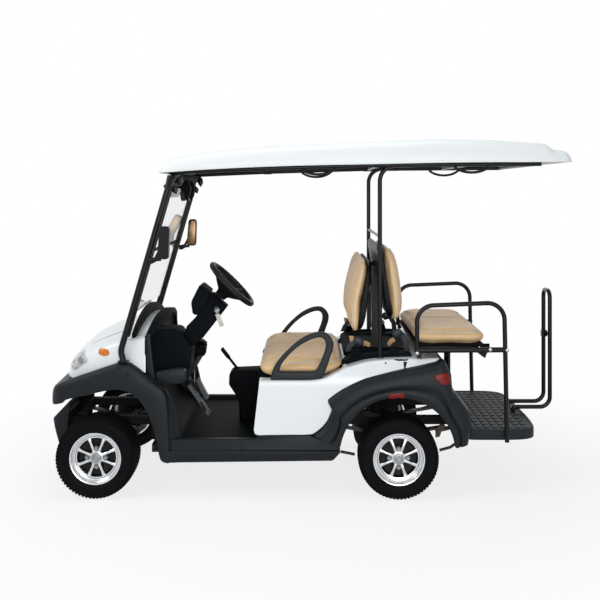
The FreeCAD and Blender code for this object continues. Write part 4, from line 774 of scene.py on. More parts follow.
# %% Rear arches
LIP_MIDDLE = (8.0, 250.0)
LIP_RADIUS = 318.0
ARCH_TOPS = [
    (470, 356, 9.5), (441, 372, 11.5), (411, 404, 14.5), (384, 458, 18.5), (371, 502, 23),
    (383, 523, 26), (391, 545, 29), (369, 567, 34), (300, 613, 48), (200, 659, 62), (90, 687, 76),
    (-20, 709, 90), (-120, 725, 104), (-202, 740, 118), (-240, 756, 130), (-268, 722, 139),
    (-287, 660, 147), (-297, 603, 152), (-345, 537, 158), (-387, 472, 163), (-396, 400, 168),
    (-379, 308, 172),
]
ARCH_PROFILE = [(-0.05, -85), (-0.01, -44), (0.0, -38), (0.03, -30), (0.10, -19), (0.2, -11),
                (0.34, -5), (0.48, -2), (0.56, -1), (0.60, -4), (0.64, -11), (0.67, -12),
                (0.71, -5), (0.76, -1), (0.88, 0), (0.96, -2), (1.0, -8), (1.0, -36)]


def arch_pair(ahead, height, angle):
    """The upper point of the arch moulding and the lip point at that angle round the wheel."""
    turn = math.radians(angle)
    return (ahead, 600, height, LIP_MIDDLE[0] + LIP_RADIUS * math.cos(turn), 600,
            LIP_MIDDLE[1] + LIP_RADIUS * math.sin(turn))


pairs = [arch_pair(*top) for top in ARCH_TOPS]
arches = band("rear_arch_skins", rx, pairs, [(0, 1)] * len(pairs), [1.0] * len(pairs),
              ARCH_PROFILE)
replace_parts(arches, "rear_flares")

# %% [markdown]
# A seat cushion is foam in a sewn vinyl cover, pulled down over a board. The foam pushes the
# cover out and the seams hold it in, so the faces crown and the sides pull in at the corners.
# Each cushion starts as a crowned pillow with rounded corners, a little smaller than its space.
# That is remeshed into an even net of cloth and blown up from inside with Blender's cloth, for
# twenty frames. A cap on how far a point may move keeps it in the space that the frame gives
# it.

# %% Pillow shape
def pillow(place, corner, rim, steps=22):
    """A closed form. place(across, along, face) gives a point in mm: across and along go from
    -1 to 1, and face from -1, the underside, to 1, the face that is sat on. A larger corner or
    rim makes the corners or the rim squarer."""
    shape = bmesh.new()
    for side in (1, -1):
        grid = []
        for i in range(-steps, steps + 1):
            row = []
            for j in range(-steps, steps + 1):
                u, v = (math.copysign(1 - (1 - abs(k) / steps) ** 1.5, k) for k in (i, j))
                reach = max(abs(u), abs(v))
                pull = reach / max((abs(u) ** corner + abs(v) ** corner) ** (1 / corner), 1e-6)
                face = side * (1 - reach ** rim) ** (1 / rim)
                row.append(Vector(place(u * pull, v * pull, face)) * MM)
            grid.append(row)
        skin(shape, grid)
    weld(shape, 0.2)
    return as_mesh("pillow", shape)


TUCK = 0.03
UNDER_SLOPE = 0.46


def bench_place(node, crown, small=10, bend=None):
    """Places of a bench cushion, crowned on top. Behind a bend its underside rises."""
    low, high = (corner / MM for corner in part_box(node))
    centre, half = (low + high) / 2, (high - low) / 2

    def place(along, across, face):
        tuck = 1 - TUCK * max(-face, 0)
        x = centre.x + (half.x - small) * along * tuck
        under = low.z + small / 2 + (UNDER_SLOPE * max(bend - x, 0) if bend is not None else 0)
        over = high.z - small / 2 - crown * half.z * (0.5 * along ** 2 + 0.5 * across ** 2)
        over = max(over, under + 0.9 * half.z)
        z = (under + over) / 2 + (over - under) / 2 * face
        return (x, centre.y + (half.y - small) * across * tuck, z)
    return place


def back_place(faces, backs, half, small=7):
    """Places of a seat back between a face curve and a back curve of (x, z) points."""
    fronts, behinds = through(faces, 8), through(backs, 8)

    def at_height(curve, z):
        for (xa, za), (xb, zb) in zip(curve, curve[1:]):
            if za <= z <= zb:
                return xa + (xb - xa) * (z - za) / max(zb - za, 1e-6)
        return curve[0][0] if z < curve[0][1] else curve[-1][0]

    low, high = faces[0][1], faces[-1][1]

    def place(across, along, face):
        z = (low + high) / 2 + (high - low - small) / 2 * along
        a, b = at_height(fronts, z), at_height(behinds, z)
        return ((a + b) / 2 + (a - b) / 2 * face * 0.94, (half - small) * across, z)
    return place


print("pillow makers ready")

# %% Blow a cushion up
NET_MM = 9.0
FRAMES = 20
PRESSURE = 4.0
COVER_RISE_MM = 1.0


def net_of(mesh, name):
    """An even net over a shape."""
    net = new_object(name, mesh)
    remesh = net.modifiers.new("net", "REMESH")
    remesh.mode = "VOXEL"
    remesh.voxel_size = NET_MM * MM
    soften = net.modifiers.new("soften", "SMOOTH")
    soften.factor = 0.6
    soften.iterations = 5
    return settle(net, 60)


def blow_up(net, cap_mm):
    """Cloth with air pressure, its result capped and written into the mesh."""
    rest = [vert.co.copy() for vert in net.data.vertices]
    cloth = net.modifiers.new("cover", "CLOTH")
    cloth.settings.use_pressure = True
    cloth.settings.uniform_pressure_force = PRESSURE
    cloth.settings.effector_weights.gravity = 0.0
    cloth.settings.quality = 4
    cloth.point_cache.frame_end = FRAMES
    scene = bpy.context.scene
    for frame_number in range(1, FRAMES + 1):
        scene.frame_set(frame_number)
    depsgraph = bpy.context.evaluated_depsgraph_get()
    blown = net.evaluated_get(depsgraph).to_mesh()
    moves = [blown.vertices[i].co - rest[i] for i in range(len(rest))]
    net.evaluated_get(depsgraph).to_mesh_clear()
    net.modifiers.clear()
    for vert, start, move in zip(net.data.vertices, rest, moves):
        if move.length > cap_mm * MM:
            move = move.normalized() * cap_mm * MM
        vert.co = start + move
    scene.frame_set(1)


def plump(node, body, place, corner, rim, drop_mm, cap_mm=24, board=False):
    """The finished cushion that stands for a packed one. It fills that one's box and hangs a
    little lower, and one that lies on a board stays just clear of it."""
    cushion = net_of(pillow(place, corner, rim), f"{node}_vinyl")
    blow_up(cushion, cap_mm)
    low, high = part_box(node)
    low.z -= drop_mm * MM
    points = [vert.co.copy() for vert in cushion.data.vertices]
    for axis in range(3):
        least, most = min(p[axis] for p in points), max(p[axis] for p in points)
        floor = low[axis] + (COVER_RISE_MM * MM if board and axis == 2 else 0)
        for vert, point in zip(cushion.data.vertices, points):
            share = (point[axis] - least) / (most - least)
            vert.co[axis] = floor + (high[axis] - floor) * share
    cushion.modifiers.new("cover", "SUBSURF").levels = 1
    settle(cushion, 60)
    cushion.data.materials.clear()
    cushion.data.materials.append(SEAT_VINYL)
    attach(cushion, body)
    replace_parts(cushion, node)
    return cushion


FRONT_CROWN, REAR_CROWN = 0.2, 0.16
BEND = rx(430) / MM
bench = plump("front_seat_cushion", "front_seat",
              bench_place("front_seat_cushion", FRONT_CROWN, 10, BEND), 7.0, 5.5, 24, board=True)
rear_bench = plump("rear_seat_cushion", "rear_seat",
                   bench_place("rear_seat_cushion", REAR_CROWN), 8.0, 5.5, 16, board=True)

# %% The two backs
FRONT_BACK = (
    rear([(232, 880), (262, 893), (280, 932), (283, 990), (277, 1050), (258, 1120), (229, 1200),
          (204, 1270), (172, 1300)]),
    rear([(232, 880), (214, 905), (208, 975), (203, 1058), (189, 1120), (172, 1190), (158, 1265),
          (172, 1300)]),
    half_width("front_seat_back"))
REAR_BACK = (
    rear([(12, 948), (-22, 960), (-44, 1005), (-48, 1070), (-34, 1170), (-10, 1275), (18, 1345),
          (56, 1378)]),
    rear([(12, 948), (24, 975), (29, 1035), (33, 1088), (45, 1160), (60, 1250), (72, 1340),
          (56, 1378)]),
    half_width("rear_seat_back"))
front_back = plump("front_seat_back", "cart", back_place(*FRONT_BACK), 7.0, 3.2, 13, cap_mm=14)
rear_back = plump("rear_seat_back", "cart", back_place(*REAR_BACK), 6.0, 3.0, 22, cap_mm=14)
for cushion in (bench, rear_bench, front_back, rear_back):
    print(cushion.name, [round(float(v), 3) for v in cushion.dimensions])

# %% [markdown]
# The cover is sewn from panels. Where two panels meet, a cord in a folded strip of vinyl, the
# piping, is caught in the seam. A sewn channel has no cord: the cover is only stitched down
# into the foam, so it is a soft valley. Both are made after the cloth, on its final shape.

# %% Piping and sewn channels
SEAM_POINTS = 150
CORD_LIFT_MM = 0.4
CHANNEL_DEPTH_MM = 4


def surface_of(piece):
    """A piece's surface, for finding the nearest place on it."""
    return BVHTree.FromPolygons([v.co[:] for v in piece.data.vertices],
                                [p.vertices[:] for p in piece.data.polygons])


def round_line(name, points, radius, sides, steps, **settings):
    """A round bar as a mesh, along a smooth curve by points in metres. settings are the curve's
    own, such as whether it closes."""
    curve = bpy.data.curves.new(name, "CURVE")
    curve.dimensions = "3D"
    curve.bevel_depth = radius * MM
    curve.bevel_resolution = sides
    curve.resolution_u = steps
    curve.use_fill_caps = True
    spline = curve.splines.new("NURBS")
    spline.points.add(len(points) - 1)
    for point, place in zip(spline.points, points):
        point.co = (*place, 1.0)
    for setting, value in settings.items():
        setattr(spline, setting, value)
    line = new_object(name, curve)
    mesh = bpy.data.meshes.new_from_object(line)
    bpy.data.objects.remove(line)
    return mesh


def pipe_seam(name, piece, path, radius, body):
    """Piping along a closed path in mm, laid on the surface of a cushion."""
    surface = surface_of(piece)
    points = []
    for place in path:
        near, normal, _, _ = surface.find_nearest(Vector(place) * MM)
        points.append(near + normal * (CORD_LIFT_MM * MM))
    mesh = round_line(name, points, radius, 2, 2, order_u=3, use_cyclic_u=True)
    finish_piece(name, mesh, PIPING_VINYL, "seat_vinyl", 60, body)


def seam_loop(place, corner, reach, rim=3.0):
    """Points round a pillow at one reach from its middle, on its face side."""
    found = []
    for turn in angles(SEAM_POINTS):
        u, v = math.cos(turn), math.sin(turn)
        pull = reach / (abs(u) ** corner + abs(v) ** corner) ** (1 / corner)
        found.append(place(u * pull, v * pull, (1 - reach ** rim) ** (1 / rim)))
    return found


def sew_channel(piece, across, width, facing):
    """A stitched valley in mm along a cover, on the side that faces a direction."""
    facing = Vector(facing).normalized()
    for vert in piece.data.vertices:
        near = (vert.co.y / MM - across) / width
        facet = vert.normal.dot(facing)
        if abs(near) < 3 and facet > 0.2:
            vert.co -= facing * CHANNEL_DEPTH_MM * MM * math.exp(-near * near) * facet


for across in (-2, 2):
    sew_channel(bench, across, 9, (0, 0, 1))
    sew_channel(rear_bench, across, 9, (0, 0, 1))
for across in (-215, 215):
    sew_channel(front_back, across, 8, (1, 0, 0.15))
    sew_channel(rear_back, across, 8, (-1, 0, 0.15))
front_rim = seam_loop(bench_place("front_seat_cushion", FRONT_CROWN, 0, BEND), 7.0, 0.955, 5.0)
rear_rim = seam_loop(bench_place("rear_seat_cushion", REAR_CROWN, 0), 8.0, 0.955, 5.0)
pipe_seam("front_bench_piping", bench, front_rim, 3.6, "front_seat")
pipe_seam("rear_bench_piping", rear_bench, rear_rim, 3.6, "rear_seat")
pipe_seam("front_back_piping", front_back, seam_loop(back_place(*FRONT_BACK, 0), 7.0, 0.985),
          3.2, "cart")
pipe_seam("rear_back_piping", rear_back, seam_loop(back_place(*REAR_BACK, 0), 5.0, 0.985),
          3.2, "cart")

# %% [markdown]
# The white rear body is a thin tub. Its side stands upright, leans in from just above the arch,
# and rolls over to a flat top, which is open under the seat. It is drawn as rows from the top
# line down to the lower line. The lower line runs on a little behind the black arch, so the two
# mouldings overlap as the real ones do and no light shows between them.

# %% Rear body
TUB = [
    (768, 652, 797, 385), (764, 652, 792, 366), (750, 652, 778, 358), (700, 652, 710, 358),
    (600, 652, 600, 359), (520, 652, 510, 360), (470, 654, 470, 366), (430, 660, 420, 404),
    (400, 668, 392, 440), (375, 679, 374, 462), (350, 691, 358, 500), (320, 704, 320, 545),
    (290, 716, 282, 578), (240, 732, 232, 602), (180, 747, 174, 622), (100, 757, 98, 640),
    (0, 761, 0, 656), (-100, 764, -100, 672), (-170, 766, -172, 688), (-215, 767, -212, 704),
    (-234, 764, -232, 722), (-240, 752, -239, 740),
]
TUB_HALF = half_width("rear_body")
TUB_WAIST, TUB_LEAN, TUB_BLEND = 668, 0.606, 40
TUB_INNER, TUB_EDGE = 462.0, 14


def tub_side(height):
    """How far out the side of the tub stands at a height: upright, a blend, then leaning in."""
    above = height - TUB_WAIST
    if abs(above) <= TUB_BLEND:
        above = (above + TUB_BLEND) ** 2 / (4 * TUB_BLEND)
    return TUB_HALF - TUB_LEAN * max(above, 0)


def tub_row(x, top, low_x, low):
    """One row from the lower line up the side, over the rolled edge and in along the top."""
    row = [(low_x, tub_side(low) - 24, low - 6), (low_x, tub_side(low) - 3, low - 3)]
    for part in range(0, 15):
        share = part / 14
        height = low + (top - TUB_EDGE - low) * share
        row.append((low_x + (x - low_x) * share, tub_side(height), height))
    edge = tub_side(top - TUB_EDGE)
    for turn in (20, 45, 70, 90):
        angle = math.radians(turn)
        row.append((x, edge - TUB_EDGE * (1 - math.cos(angle)),
                    top - TUB_EDGE + TUB_EDGE * math.sin(angle)))
    row += [(x, (edge - TUB_EDGE) * 0.5 + TUB_INNER * 0.5, top), (x, TUB_INNER, top),
            (x, TUB_INNER - 3, top - 2), (x, TUB_INNER - 3, top - 26)]
    return [Vector((rx(a), y * MM, z * MM)) for a, y, z in row]


shape = bmesh.new()
tub_rows = through(TUB, 4)
skin(shape, [tub_row(*row) for row in tub_rows])
lid = [(306, 668), (306, 707)] + [row[:2] for row in tub_rows if row[0] < 306]
skin(shape, [[Vector((rx(x), y * MM, z * MM)) for y in (TUB_INNER, 400, 300, 200, 100, 0)]
             for x, z in lid + [(-241, 742), (-241, 690)]])
both_halves(shape)
tub = make_piece("rear_tub", shape, BODY_WHITE, "white_body", 40)
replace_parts(tub, "rear_body")

# %% [markdown]
# Two more black mouldings sit on the tub. The deck is a low plinth with a tray pressed in its
# top, and the steel posts of the seat backs stand on it. Each seat back has a rounded shell
# behind it, made like the cushions but with a tighter rim and no cloth.

# %% Deck and seat shells
DECK = [(292, 246, 742), (289, 258, 770), (280, 264, 780), (240, 268, 785), (160, 268, 786),
        (100, 268, 785), (40, 268, 783), (-40, 266, 780), (-84, 262, 778), (-96, 254, 770),
        (-99, 246, 742)]


TRAY_DEPTH = 9
TRAY_ENDS = (-60, 250)


def deck_row(x, half, top):
    """One section of the deck from its left foot to the middle."""
    depth = TRAY_DEPTH if TRAY_ENDS[0] < x < TRAY_ENDS[1] else 0
    row = [(half, 735), (half, top - 12), (half - 2, top - 5), (half - 6, top - 1.5),
           (half - 12, top), (half - 34, top), (half - 40, top - depth * 0.4),
           (half - 46, top - depth), (half / 2, top - depth), (0, top - depth)]
    return [Vector((rx(x), y * MM, z * MM)) for y, z in row]


shape = bmesh.new()
skin(shape, [deck_row(*row) for row in through(DECK, 4)])
both_halves(shape)
deck = make_piece("deck_moulding", shape, CABIN_BLACK, "black_body")
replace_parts(deck, "rear_deck")

FRONT_SHELL = (
    rear([(214, 886), (225, 900), (219, 960), (203, 1058), (181, 1170), (160, 1280),
          (148, 1299)]),
    rear([(214, 886), (196, 896), (172, 960), (158, 1058), (149, 1150), (142, 1240),
          (140, 1286), (148, 1299)]))
REAR_SHELL = (
    rear([(16, 961), (5, 974), (12, 1020), (32, 1088), (50, 1200), (76, 1370), (96, 1395)]),
    rear([(16, 961), (36, 968), (60, 1010), (72, 1100), (84, 1190), (100, 1300), (111, 1374),
          (96, 1395)]))


def back_shell(name, curves):
    """A rounded plastic shell behind a seat back, between its face and back curves."""
    place = back_place(*curves, half_width("seat_back_shells"), 2)
    return finish_piece(name, pillow(place, 5.5, 7.0, 20), SEAT_SHELL, "seat_shell")


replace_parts(back_shell("front_back_shell", FRONT_SHELL), "seat_back_shells")
back_shell("rear_back_shell", REAR_SHELL)

# %% [markdown]
# The hip loops are moulded foam rings with a soft, nearly oval section. Two curves, an outer
# and an inner one, give the ring, and a rounded section is swept between them.

# %% Hip loops
LOOP_OUT = [(706, 652), (701, 686), (685, 728), (652, 776), (602, 828), (550, 872), (495, 903),
            (445, 917), (405, 914), (378, 894), (360, 862), (360, 825), (378, 770), (402, 700),
            (418, 665), (440, 652), (560, 650), (660, 650)]
LOOP_IN = [(656, 702), (655, 712), (645, 738), (620, 772), (582, 812), (535, 848), (485, 874),
           (445, 886), (422, 884), (408, 872), (402, 852), (405, 822), (417, 785), (438, 735),
           (452, 710), (468, 700), (560, 698), (632, 698)]
LOOP_Y = (505.0, 538.0)
LOOP_POINTS = 16
LOOP_POWER = 0.62


def squared(value, power):
    """A cosine or a sine whose curve is filled out towards a square."""
    return math.copysign(abs(value) ** power, value)


def loop_row(ax, az, bx, bz):
    """One rounded section between a point of the outer curve and one of the inner curve."""
    row = []
    for turn in angles(LOOP_POINTS):
        across = squared(math.cos(turn), LOOP_POWER) / 2 + 0.5
        y = sum(LOOP_Y) / 2 + squared(math.sin(turn), LOOP_POWER) * (LOOP_Y[1] - LOOP_Y[0]) / 2
        row.append(Vector((rx(ax + (bx - ax) * across), y * MM, (az + (bz - az) * across) * MM)))
    return row


shape = bmesh.new()
wrap = [(*a, *b) for a, b in zip(LOOP_OUT, LOOP_IN)]
wrap = through(wrap[-2:] + wrap + wrap[:2], 5)[10:-5]
skin(shape, [loop_row(*pair) for pair in wrap], ring=True)
weld(shape, 0.2)
both_halves(shape)
loops = make_piece("hip_loops", shape, LOOP_FOAM, "black_body", 60)
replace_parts(loops, "hip_restraints")

# %% [markdown]
# Lamps, markers, slots and screw heads follow the panel they sit on. Each is drawn as an
# outline seen from the side, laid on the panel by casting rays at it, and raised along the
# panel's own normal, so it is a shallow dome with a sunk edge. The dome is a list of (share of
# the outline, share of the lift).

# %% Inlays on curved panels
DOME = ((1, -2), (1, 0.6), (0.95, 1), (0.7, 1.1), (0.35, 1.15))
BESIDE, ABOVE = 0.7, 1.2


def inlay(name, panel, outline, material, slot, lift):
    """A domed patch on a panel. outline holds (x, z) in mm, and both sides are made."""
    surface = surface_of(panel)
    outline = [row[:2] for row in through([outline[-1]] + outline + outline[:2], 3)][3:-4]
    cx = sum(x for x, _ in outline) / len(outline)
    cz = sum(z for _, z in outline) / len(outline)
    shape = bmesh.new()
    loops = []
    for share, rise in DOME:
        loop = []
        for x, z in outline:
            start = Vector(((cx + (x - cx) * share) * MM, BESIDE, (cz + (z - cz) * share) * MM))
            hit, normal, _, _ = surface.ray_cast(start, Vector((0, -1, 0)))
            if hit is None:
                hit, normal, _, _ = surface.find_nearest(start)
            normal = normal if normal.y > 0 else -normal
            loop.append(hit + normal * lift * rise * MM)
        loops.append(loop)
    skin(shape, [loop + loop[:1] for loop in loops])
    weld(shape, 0.05)
    last = [v for v in shape.verts if any((v.co - p).length < 0.00006 for p in loops[-1])]
    centre = shape.verts.new(sum((v.co for v in last), Vector()) / len(last))
    for edge in [e for e in shape.edges if e.verts[0] in last and e.verts[1] in last]:
        shape.faces.new((*edge.verts, centre))
    both_halves(shape)
    return make_piece(name, shape, material, slot)


def oval(x, z, wide, tall, lean=0.0):
    """A slightly squared oval outline about a middle, in mm."""
    found = []
    for turn in angles(28):
        a = wide / 2 * squared(math.cos(turn), 2 / 2.4)
        b = tall / 2 * squared(math.sin(turn), 2 / 2.4)
        found.append((x + a * math.cos(lean) - b * math.sin(lean),
                      z + a * math.sin(lean) + b * math.cos(lean)))
    return found


HEADLAMP = [(64, 741), (74, 766), (97, 790), (140, 768), (180, 744), (214, 719), (229, 694),
            (232, 669), (200, 670), (163, 673), (130, 692), (95, 718)]
LENS_SHARE = 0.86
middle_x = sum(x for x, _ in HEADLAMP) / len(HEADLAMP)
middle_z = sum(z for _, z in HEADLAMP) / len(HEADLAMP)
inner_line = [(middle_x + (x - middle_x) * LENS_SHARE, middle_z + (z - middle_z) * LENS_SHARE)
              for x, z in HEADLAMP]
inlay("headlamp_bezels", nose, front(HEADLAMP), LAMP_BEZEL, "alloy", 2.0)
inlay("headlamp_reflectors", nose, front(oval(168, 712, 52, 44)), CHROME, "alloy", 3.2)
inlay("headlamp_side_reflectors", nose, front(oval(108, 740, 34, 34)), CAST_ALLOY, "alloy", 3.0)
lens = inlay("headlamp_lenses", nose, front(inner_line), CLEAR_LENS, "clear_lens", 7.0)
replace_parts(lens, "headlamps")
inlay("turn_lamps", nose, front(oval(-30, 796, 62, 40, 0.12)), AMBER_LENS, "red_lens", 5.0)

# %% Rear lamps
TAIL = [(-186, 683), (-210, 693), (-240, 702), (-262, 699), (-272, 680), (-276, 660), (-272, 644),
        (-250, 639), (-230, 642), (-210, 662)]
MARKER = [(58, 588), (20, 593), (-22, 594), (-25, 580), (-22, 565), (20, 563), (58, 566),
          (61, 577)]
tail = inlay("tail_lamp_lenses", arches, rear(TAIL), RED_LENS, "red_lens", 6.0)
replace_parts(tail, "tail_lamps")
inlay("side_markers", arches, rear(MARKER), RED_LENS, "red_lens", 4.0)

# %% [markdown]
# A tyre is a ring of rubber with a bulging sidewall and a tread of small blocks. It could be
# sculpted, but everything on it goes round the axle, so a profile is turned on a lathe, and the
# blocks and ribs are put round it by angle. One tyre is made once, and all four wheels use it.
# A wheel is drawn about its own middle, with its outer side towards +Y.

# %% Lathe work
def turned(shape, profile, segments):
    """A skin of revolution about Y: profile is (out along the axle, radius) in mm."""
    rows = []
    for turn in angles(segments):
        rows.append([Vector((r * math.cos(turn), out, r * math.sin(turn))) * MM
                     for out, r in profile])
    skin(shape, rows + [rows[0]])
    weld(shape, 0.01)


def block(shape, outs, radii, turns):
    """A raised block on a wheel between two places along the axle, two radii and two angles."""
    corners = []
    middle_turn, middle_out = (turns[0] + turns[1]) / 2, (outs[0] + outs[1]) / 2
    for radius, shrink in ((radii[0], 0.0), (radii[1], 0.12)):
        for turn in turns:
            at = turn + (middle_turn - turn) * shrink
            for out in outs:
                place = Vector((radius * math.cos(at), out + (middle_out - out) * shrink,
                                radius * math.sin(at)))
                corners.append(shape.verts.new(place * MM))
    a, b, c, d, e, f, g, h = corners
    for face in ((e, f, h, g), (a, b, f, e), (b, d, h, f), (d, c, g, h), (c, a, e, g)):
        shape.faces.new(face)


TYRE_SIDE = [(82, 137), (87, 141), (91, 147), (95, 154), (98, 160), (99, 163), (98.4, 166),
             (99.4, 172), (99.6, 182), (98.6, 190), (99.2, 193), (98, 196), (95.5, 203),
             (91, 210), (84, 215), (72, 217.5), (40, 218.5), (0, 219)]
BLOCK_ROWS = [(-93, -76), (-71, -50), (-46, -26), (-22, -2), (2, 22), (26, 46), (50, 71),
              (76, 93)]
BLOCKS_ROUND = 66
BLOCK_SHARE, RIB_SHARE = 0.74, 0.2
TREAD_RADIUS, TREAD_DROP = 222.8, 5.5
WORN_RADIUS, WORN_HALF = 214, 94


def draw_tyre():
    """One tyre: casing, tread blocks and shoulder ribs."""
    shape = bmesh.new()
    turned(shape, TYRE_SIDE + [(-out, r) for out, r in reversed(TYRE_SIDE[:-1])], 96)
    step = 2 * math.pi / BLOCKS_ROUND
    for row, outs in enumerate(BLOCK_ROWS):
        reach = max(abs(outs[0]), abs(outs[1]))
        top = TREAD_RADIUS - TREAD_DROP * (reach / 93) ** 4
        base = 214 if reach < 90 else 208
        for number in range(BLOCKS_ROUND):
            turn = step * (number + 0.5 * (row % 2))
            block(shape, outs, (base, top), (turn, turn + BLOCK_SHARE * step))
    for number in range(BLOCKS_ROUND * 2):
        turn = step * number / 2
        for side in (-1, 1):
            block(shape, (side * 86, side * 97.5), (200, 211.5), (turn, turn + RIB_SHARE * step))
    mesh = as_mesh("turf_tyre", shape)
    mesh.materials.append(TYRE_RUBBER)
    mesh.materials.append(TREAD_RUBBER)
    for face in mesh.polygons:
        far = math.hypot(face.center.x, face.center.z) / MM
        worn = far > WORN_RADIUS and abs(face.center.y) / MM < WORN_HALF
        face.material_index = 1 if worn else 0
    return mesh


tyre_mesh = draw_tyre()
print("tyre", len(tyre_mesh.polygons), "faces")

# %% [markdown]
# The wheel is cast aluminium. Its face was then cut on a lathe: the lip, the edge of the dish
# and the faces of the eight spokes are bright, and the pockets between them kept their black
# paint and show dark. A small dome covers the hub, with four nuts round it.

# %% Cast wheel
LIP = [(-84, 141), (-87.5, 141.6), (-87.5, 132), (-80, 128), (-60, 124), (20, 119), (50, 117),
       (55, 118), (60, 121.5), (61, 124), (68, 125), (70, 128), (78, 129.5), (80, 132), (85, 134),
       (87.5, 138), (88.4, 142), (87, 144), (84, 143.6), (82, 139)]
DISH = [(55, 118), (58, 114), (57, 109), (52, 105.5), (40, 104)]
POCKET = [(40, 104.4), (33, 100), (30, 60), (32, 34), (50, 33)]
HUB = [(48, 38), (60, 38), (63, 36), (64, 33), (62, 31), (63, 27)]
CAP = [(63, 27), (69, 26.5), (73, 23.5), (74.5, 17), (73, 14), (69, 13), (68.5, 0.1)]
SPOKES = 8
SPOKE = [(30, 10.0, 62), (46, 7.4, 64), (70, 6.4, 63.5), (92, 7.2, 61), (104, 9.0, 58.5),
         (113, 14.0, 57)]
NUT_CIRCLE = 50.8
NUT_SEAT = [(48, 13), (60, 12.5), (60, 9.5)]
NUT_HEX = [(58, 9.5), (68, 9.5), (71, 7.5), (71.5, 0.1)]


def spoke(shape, turn):
    """One slim spoke with a ridge down its middle, from the hub to the dish."""
    rows = []
    for radius, half, face in SPOKE:
        section = [(-half, face - 20), (-half, face - 4), (-half * 0.55, face - 0.8), (0, face),
                   (half * 0.55, face - 0.8), (half, face - 4), (half, face - 20)]
        rows.append([Vector((radius * math.cos(turn) - across * math.sin(turn), out,
                             radius * math.sin(turn) + across * math.cos(turn))) * MM
                     for across, out in section])
    skin(shape, rows)


def draw_wheel():
    """One wheel: lip, dish, pockets, spokes, hub, cap and nuts, in three finishes."""
    bright, dark, cast = bmesh.new(), bmesh.new(), bmesh.new()
    for profile, segments in ((LIP, 96), (DISH, 96), (HUB, 48)):
        turned(bright, profile, segments)
    for number in range(SPOKES):
        spoke(bright, math.radians(45 * number + 22.5))
    turned(dark, POCKET, 96)
    turned(cast, CAP, 48)
    for number in range(4):
        nut(cast, math.radians(90 * number))
    mesh = bpy.data.meshes.new("cast_wheel")
    whole = bmesh.new()
    for index, shape in enumerate((bright, dark, cast)):
        for face in shape.faces:
            face.material_index = index
        layer = as_mesh("layer", shape)
        whole.from_mesh(layer)
        bpy.data.meshes.remove(layer)
    whole.to_mesh(mesh)
    whole.free()
    for material in (TURNED_ALLOY, HARD_BLACK, CAST_ALLOY):
        mesh.materials.append(material)
    return mesh


def nut(shape, turn):
    """A six-sided wheel nut on its seat."""
    centre = Vector((NUT_CIRCLE * math.cos(turn), 0, NUT_CIRCLE * math.sin(turn)))
    for profile, sides in ((NUT_SEAT, 24), (NUT_HEX, 6)):
        rows = [[(centre + Vector((r * math.cos(at), out, r * math.sin(at)))) * MM
                 for out, r in profile] for at in angles(sides)]
        skin(shape, rows + [rows[0]])


wheel_mesh = draw_wheel()
print("wheel", len(wheel_mesh.polygons), "faces")

# %% [markdown]
# Tyre and wheel share the body of the wheel, so the two turn as one. A wheel on the right is
# the same mesh turned half round, with its bright face outwards.

# %% Set the four wheels
def set_wheel(corner):
    """A tyre and a wheel on their body, with the bright face outwards."""
    body = f"{corner}_wheel"
    place = middle(f"{corner}_tyre")
    for name, mesh, slot, node, edge in (
            (f"{corner}_turf_tyre", tyre_mesh, "tyre", f"{corner}_tyre", 32),
            (f"{corner}_cast_wheel", wheel_mesh, "alloy", body, 28)):
        piece = new_object(name, mesh)
        piece.location = place
        piece.rotation_euler.z = 0 if corner.endswith("left") else math.pi
        shade(piece, edge)
        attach(piece, body)
        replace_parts(piece, node)


for corner in CORNERS:
    set_wheel(corner)
print(len(CORNERS), "wheels set")

# %% [markdown]
# The rest is hardware: small pieces that a person would touch or bolt on. Bent bars are smooth
# curves with a round section, like the piping. Plates and blocks are cut from an outline, given
# a thickness and a small bevel, so that every edge catches a line of light.

# %% Bars and plates
def bar(name, points, radius, material, slot, order=3):
    """A round bar along points in mm."""
    mesh = round_line(name, [Vector(place) * MM for place in points], radius, 3, 8,
                      order_u=min(order, len(points)), use_endpoint_u=True)
    return finish_piece(name, mesh, material, slot)


def plate(shape, outline, y0, y1, bevel):
    """A bevelled plate in a shape: outline of (x, z) in mm, between two places across."""
    verts = [shape.verts.new(Vector((x, y0, z)) * MM) for x, z in outline]
    face = shape.faces.new(verts)
    pushed = bmesh.ops.extrude_face_region(shape, geom=[face])
    moved = [g for g in pushed["geom"] if isinstance(g, bmesh.types.BMVert)]
    bmesh.ops.translate(shape, verts=moved, vec=(0, (y1 - y0) * MM, 0))
    faces = {f for v in verts + moved for f in v.link_faces}
    edges = {e for f in faces for e in f.edges}
    bmesh.ops.bevel(shape, geom=list(edges), offset=bevel * MM, segments=2, affect="EDGES",
                    profile=0.5, clamp_overlap=True)


def hardware(name, material, slot, plates, mirror=True):
    """One piece from several plates, on both sides of the cart where it is wanted."""
    shape = bmesh.new()
    for row in plates:
        plate(shape, *row)
    if mirror:
        both_halves(shape)
    make_piece(name, shape, material, slot, 40)


def disc(x, z, radius, count=18, per_radian=2.86):
    """A round outline about a middle, in mm."""
    turns = [k / per_radian for k in range(count)]
    return [(x + radius * math.cos(a), z + radius * math.sin(a)) for a in turns]


def bolt_heads(name, places, radius, material):
    """Six-sided bolt heads on a left face, with washers, on both sides of the cart."""
    shape = bmesh.new()
    for x, y, z in places:
        for size, out, sides in ((1.35, 1.5, 20), (1.0, 5.0, 6)):
            outline = [(x + radius * size * math.cos(a), z + radius * size * math.sin(a))
                       for a in angles(sides)]
            plate(shape, outline, y - 2, y + out, 0.5)
    both_halves(shape)
    make_piece(name, shape, material, "steel", 30)


bolt_heads("rail_bolts", [(-604, 527, 798), (-1009, 527, 818), (-1103, 527, 815)], 7, ZINC)
bolt_heads("arch_bolts", [(997, 546.5, 689)], 8, HARD_BLACK)

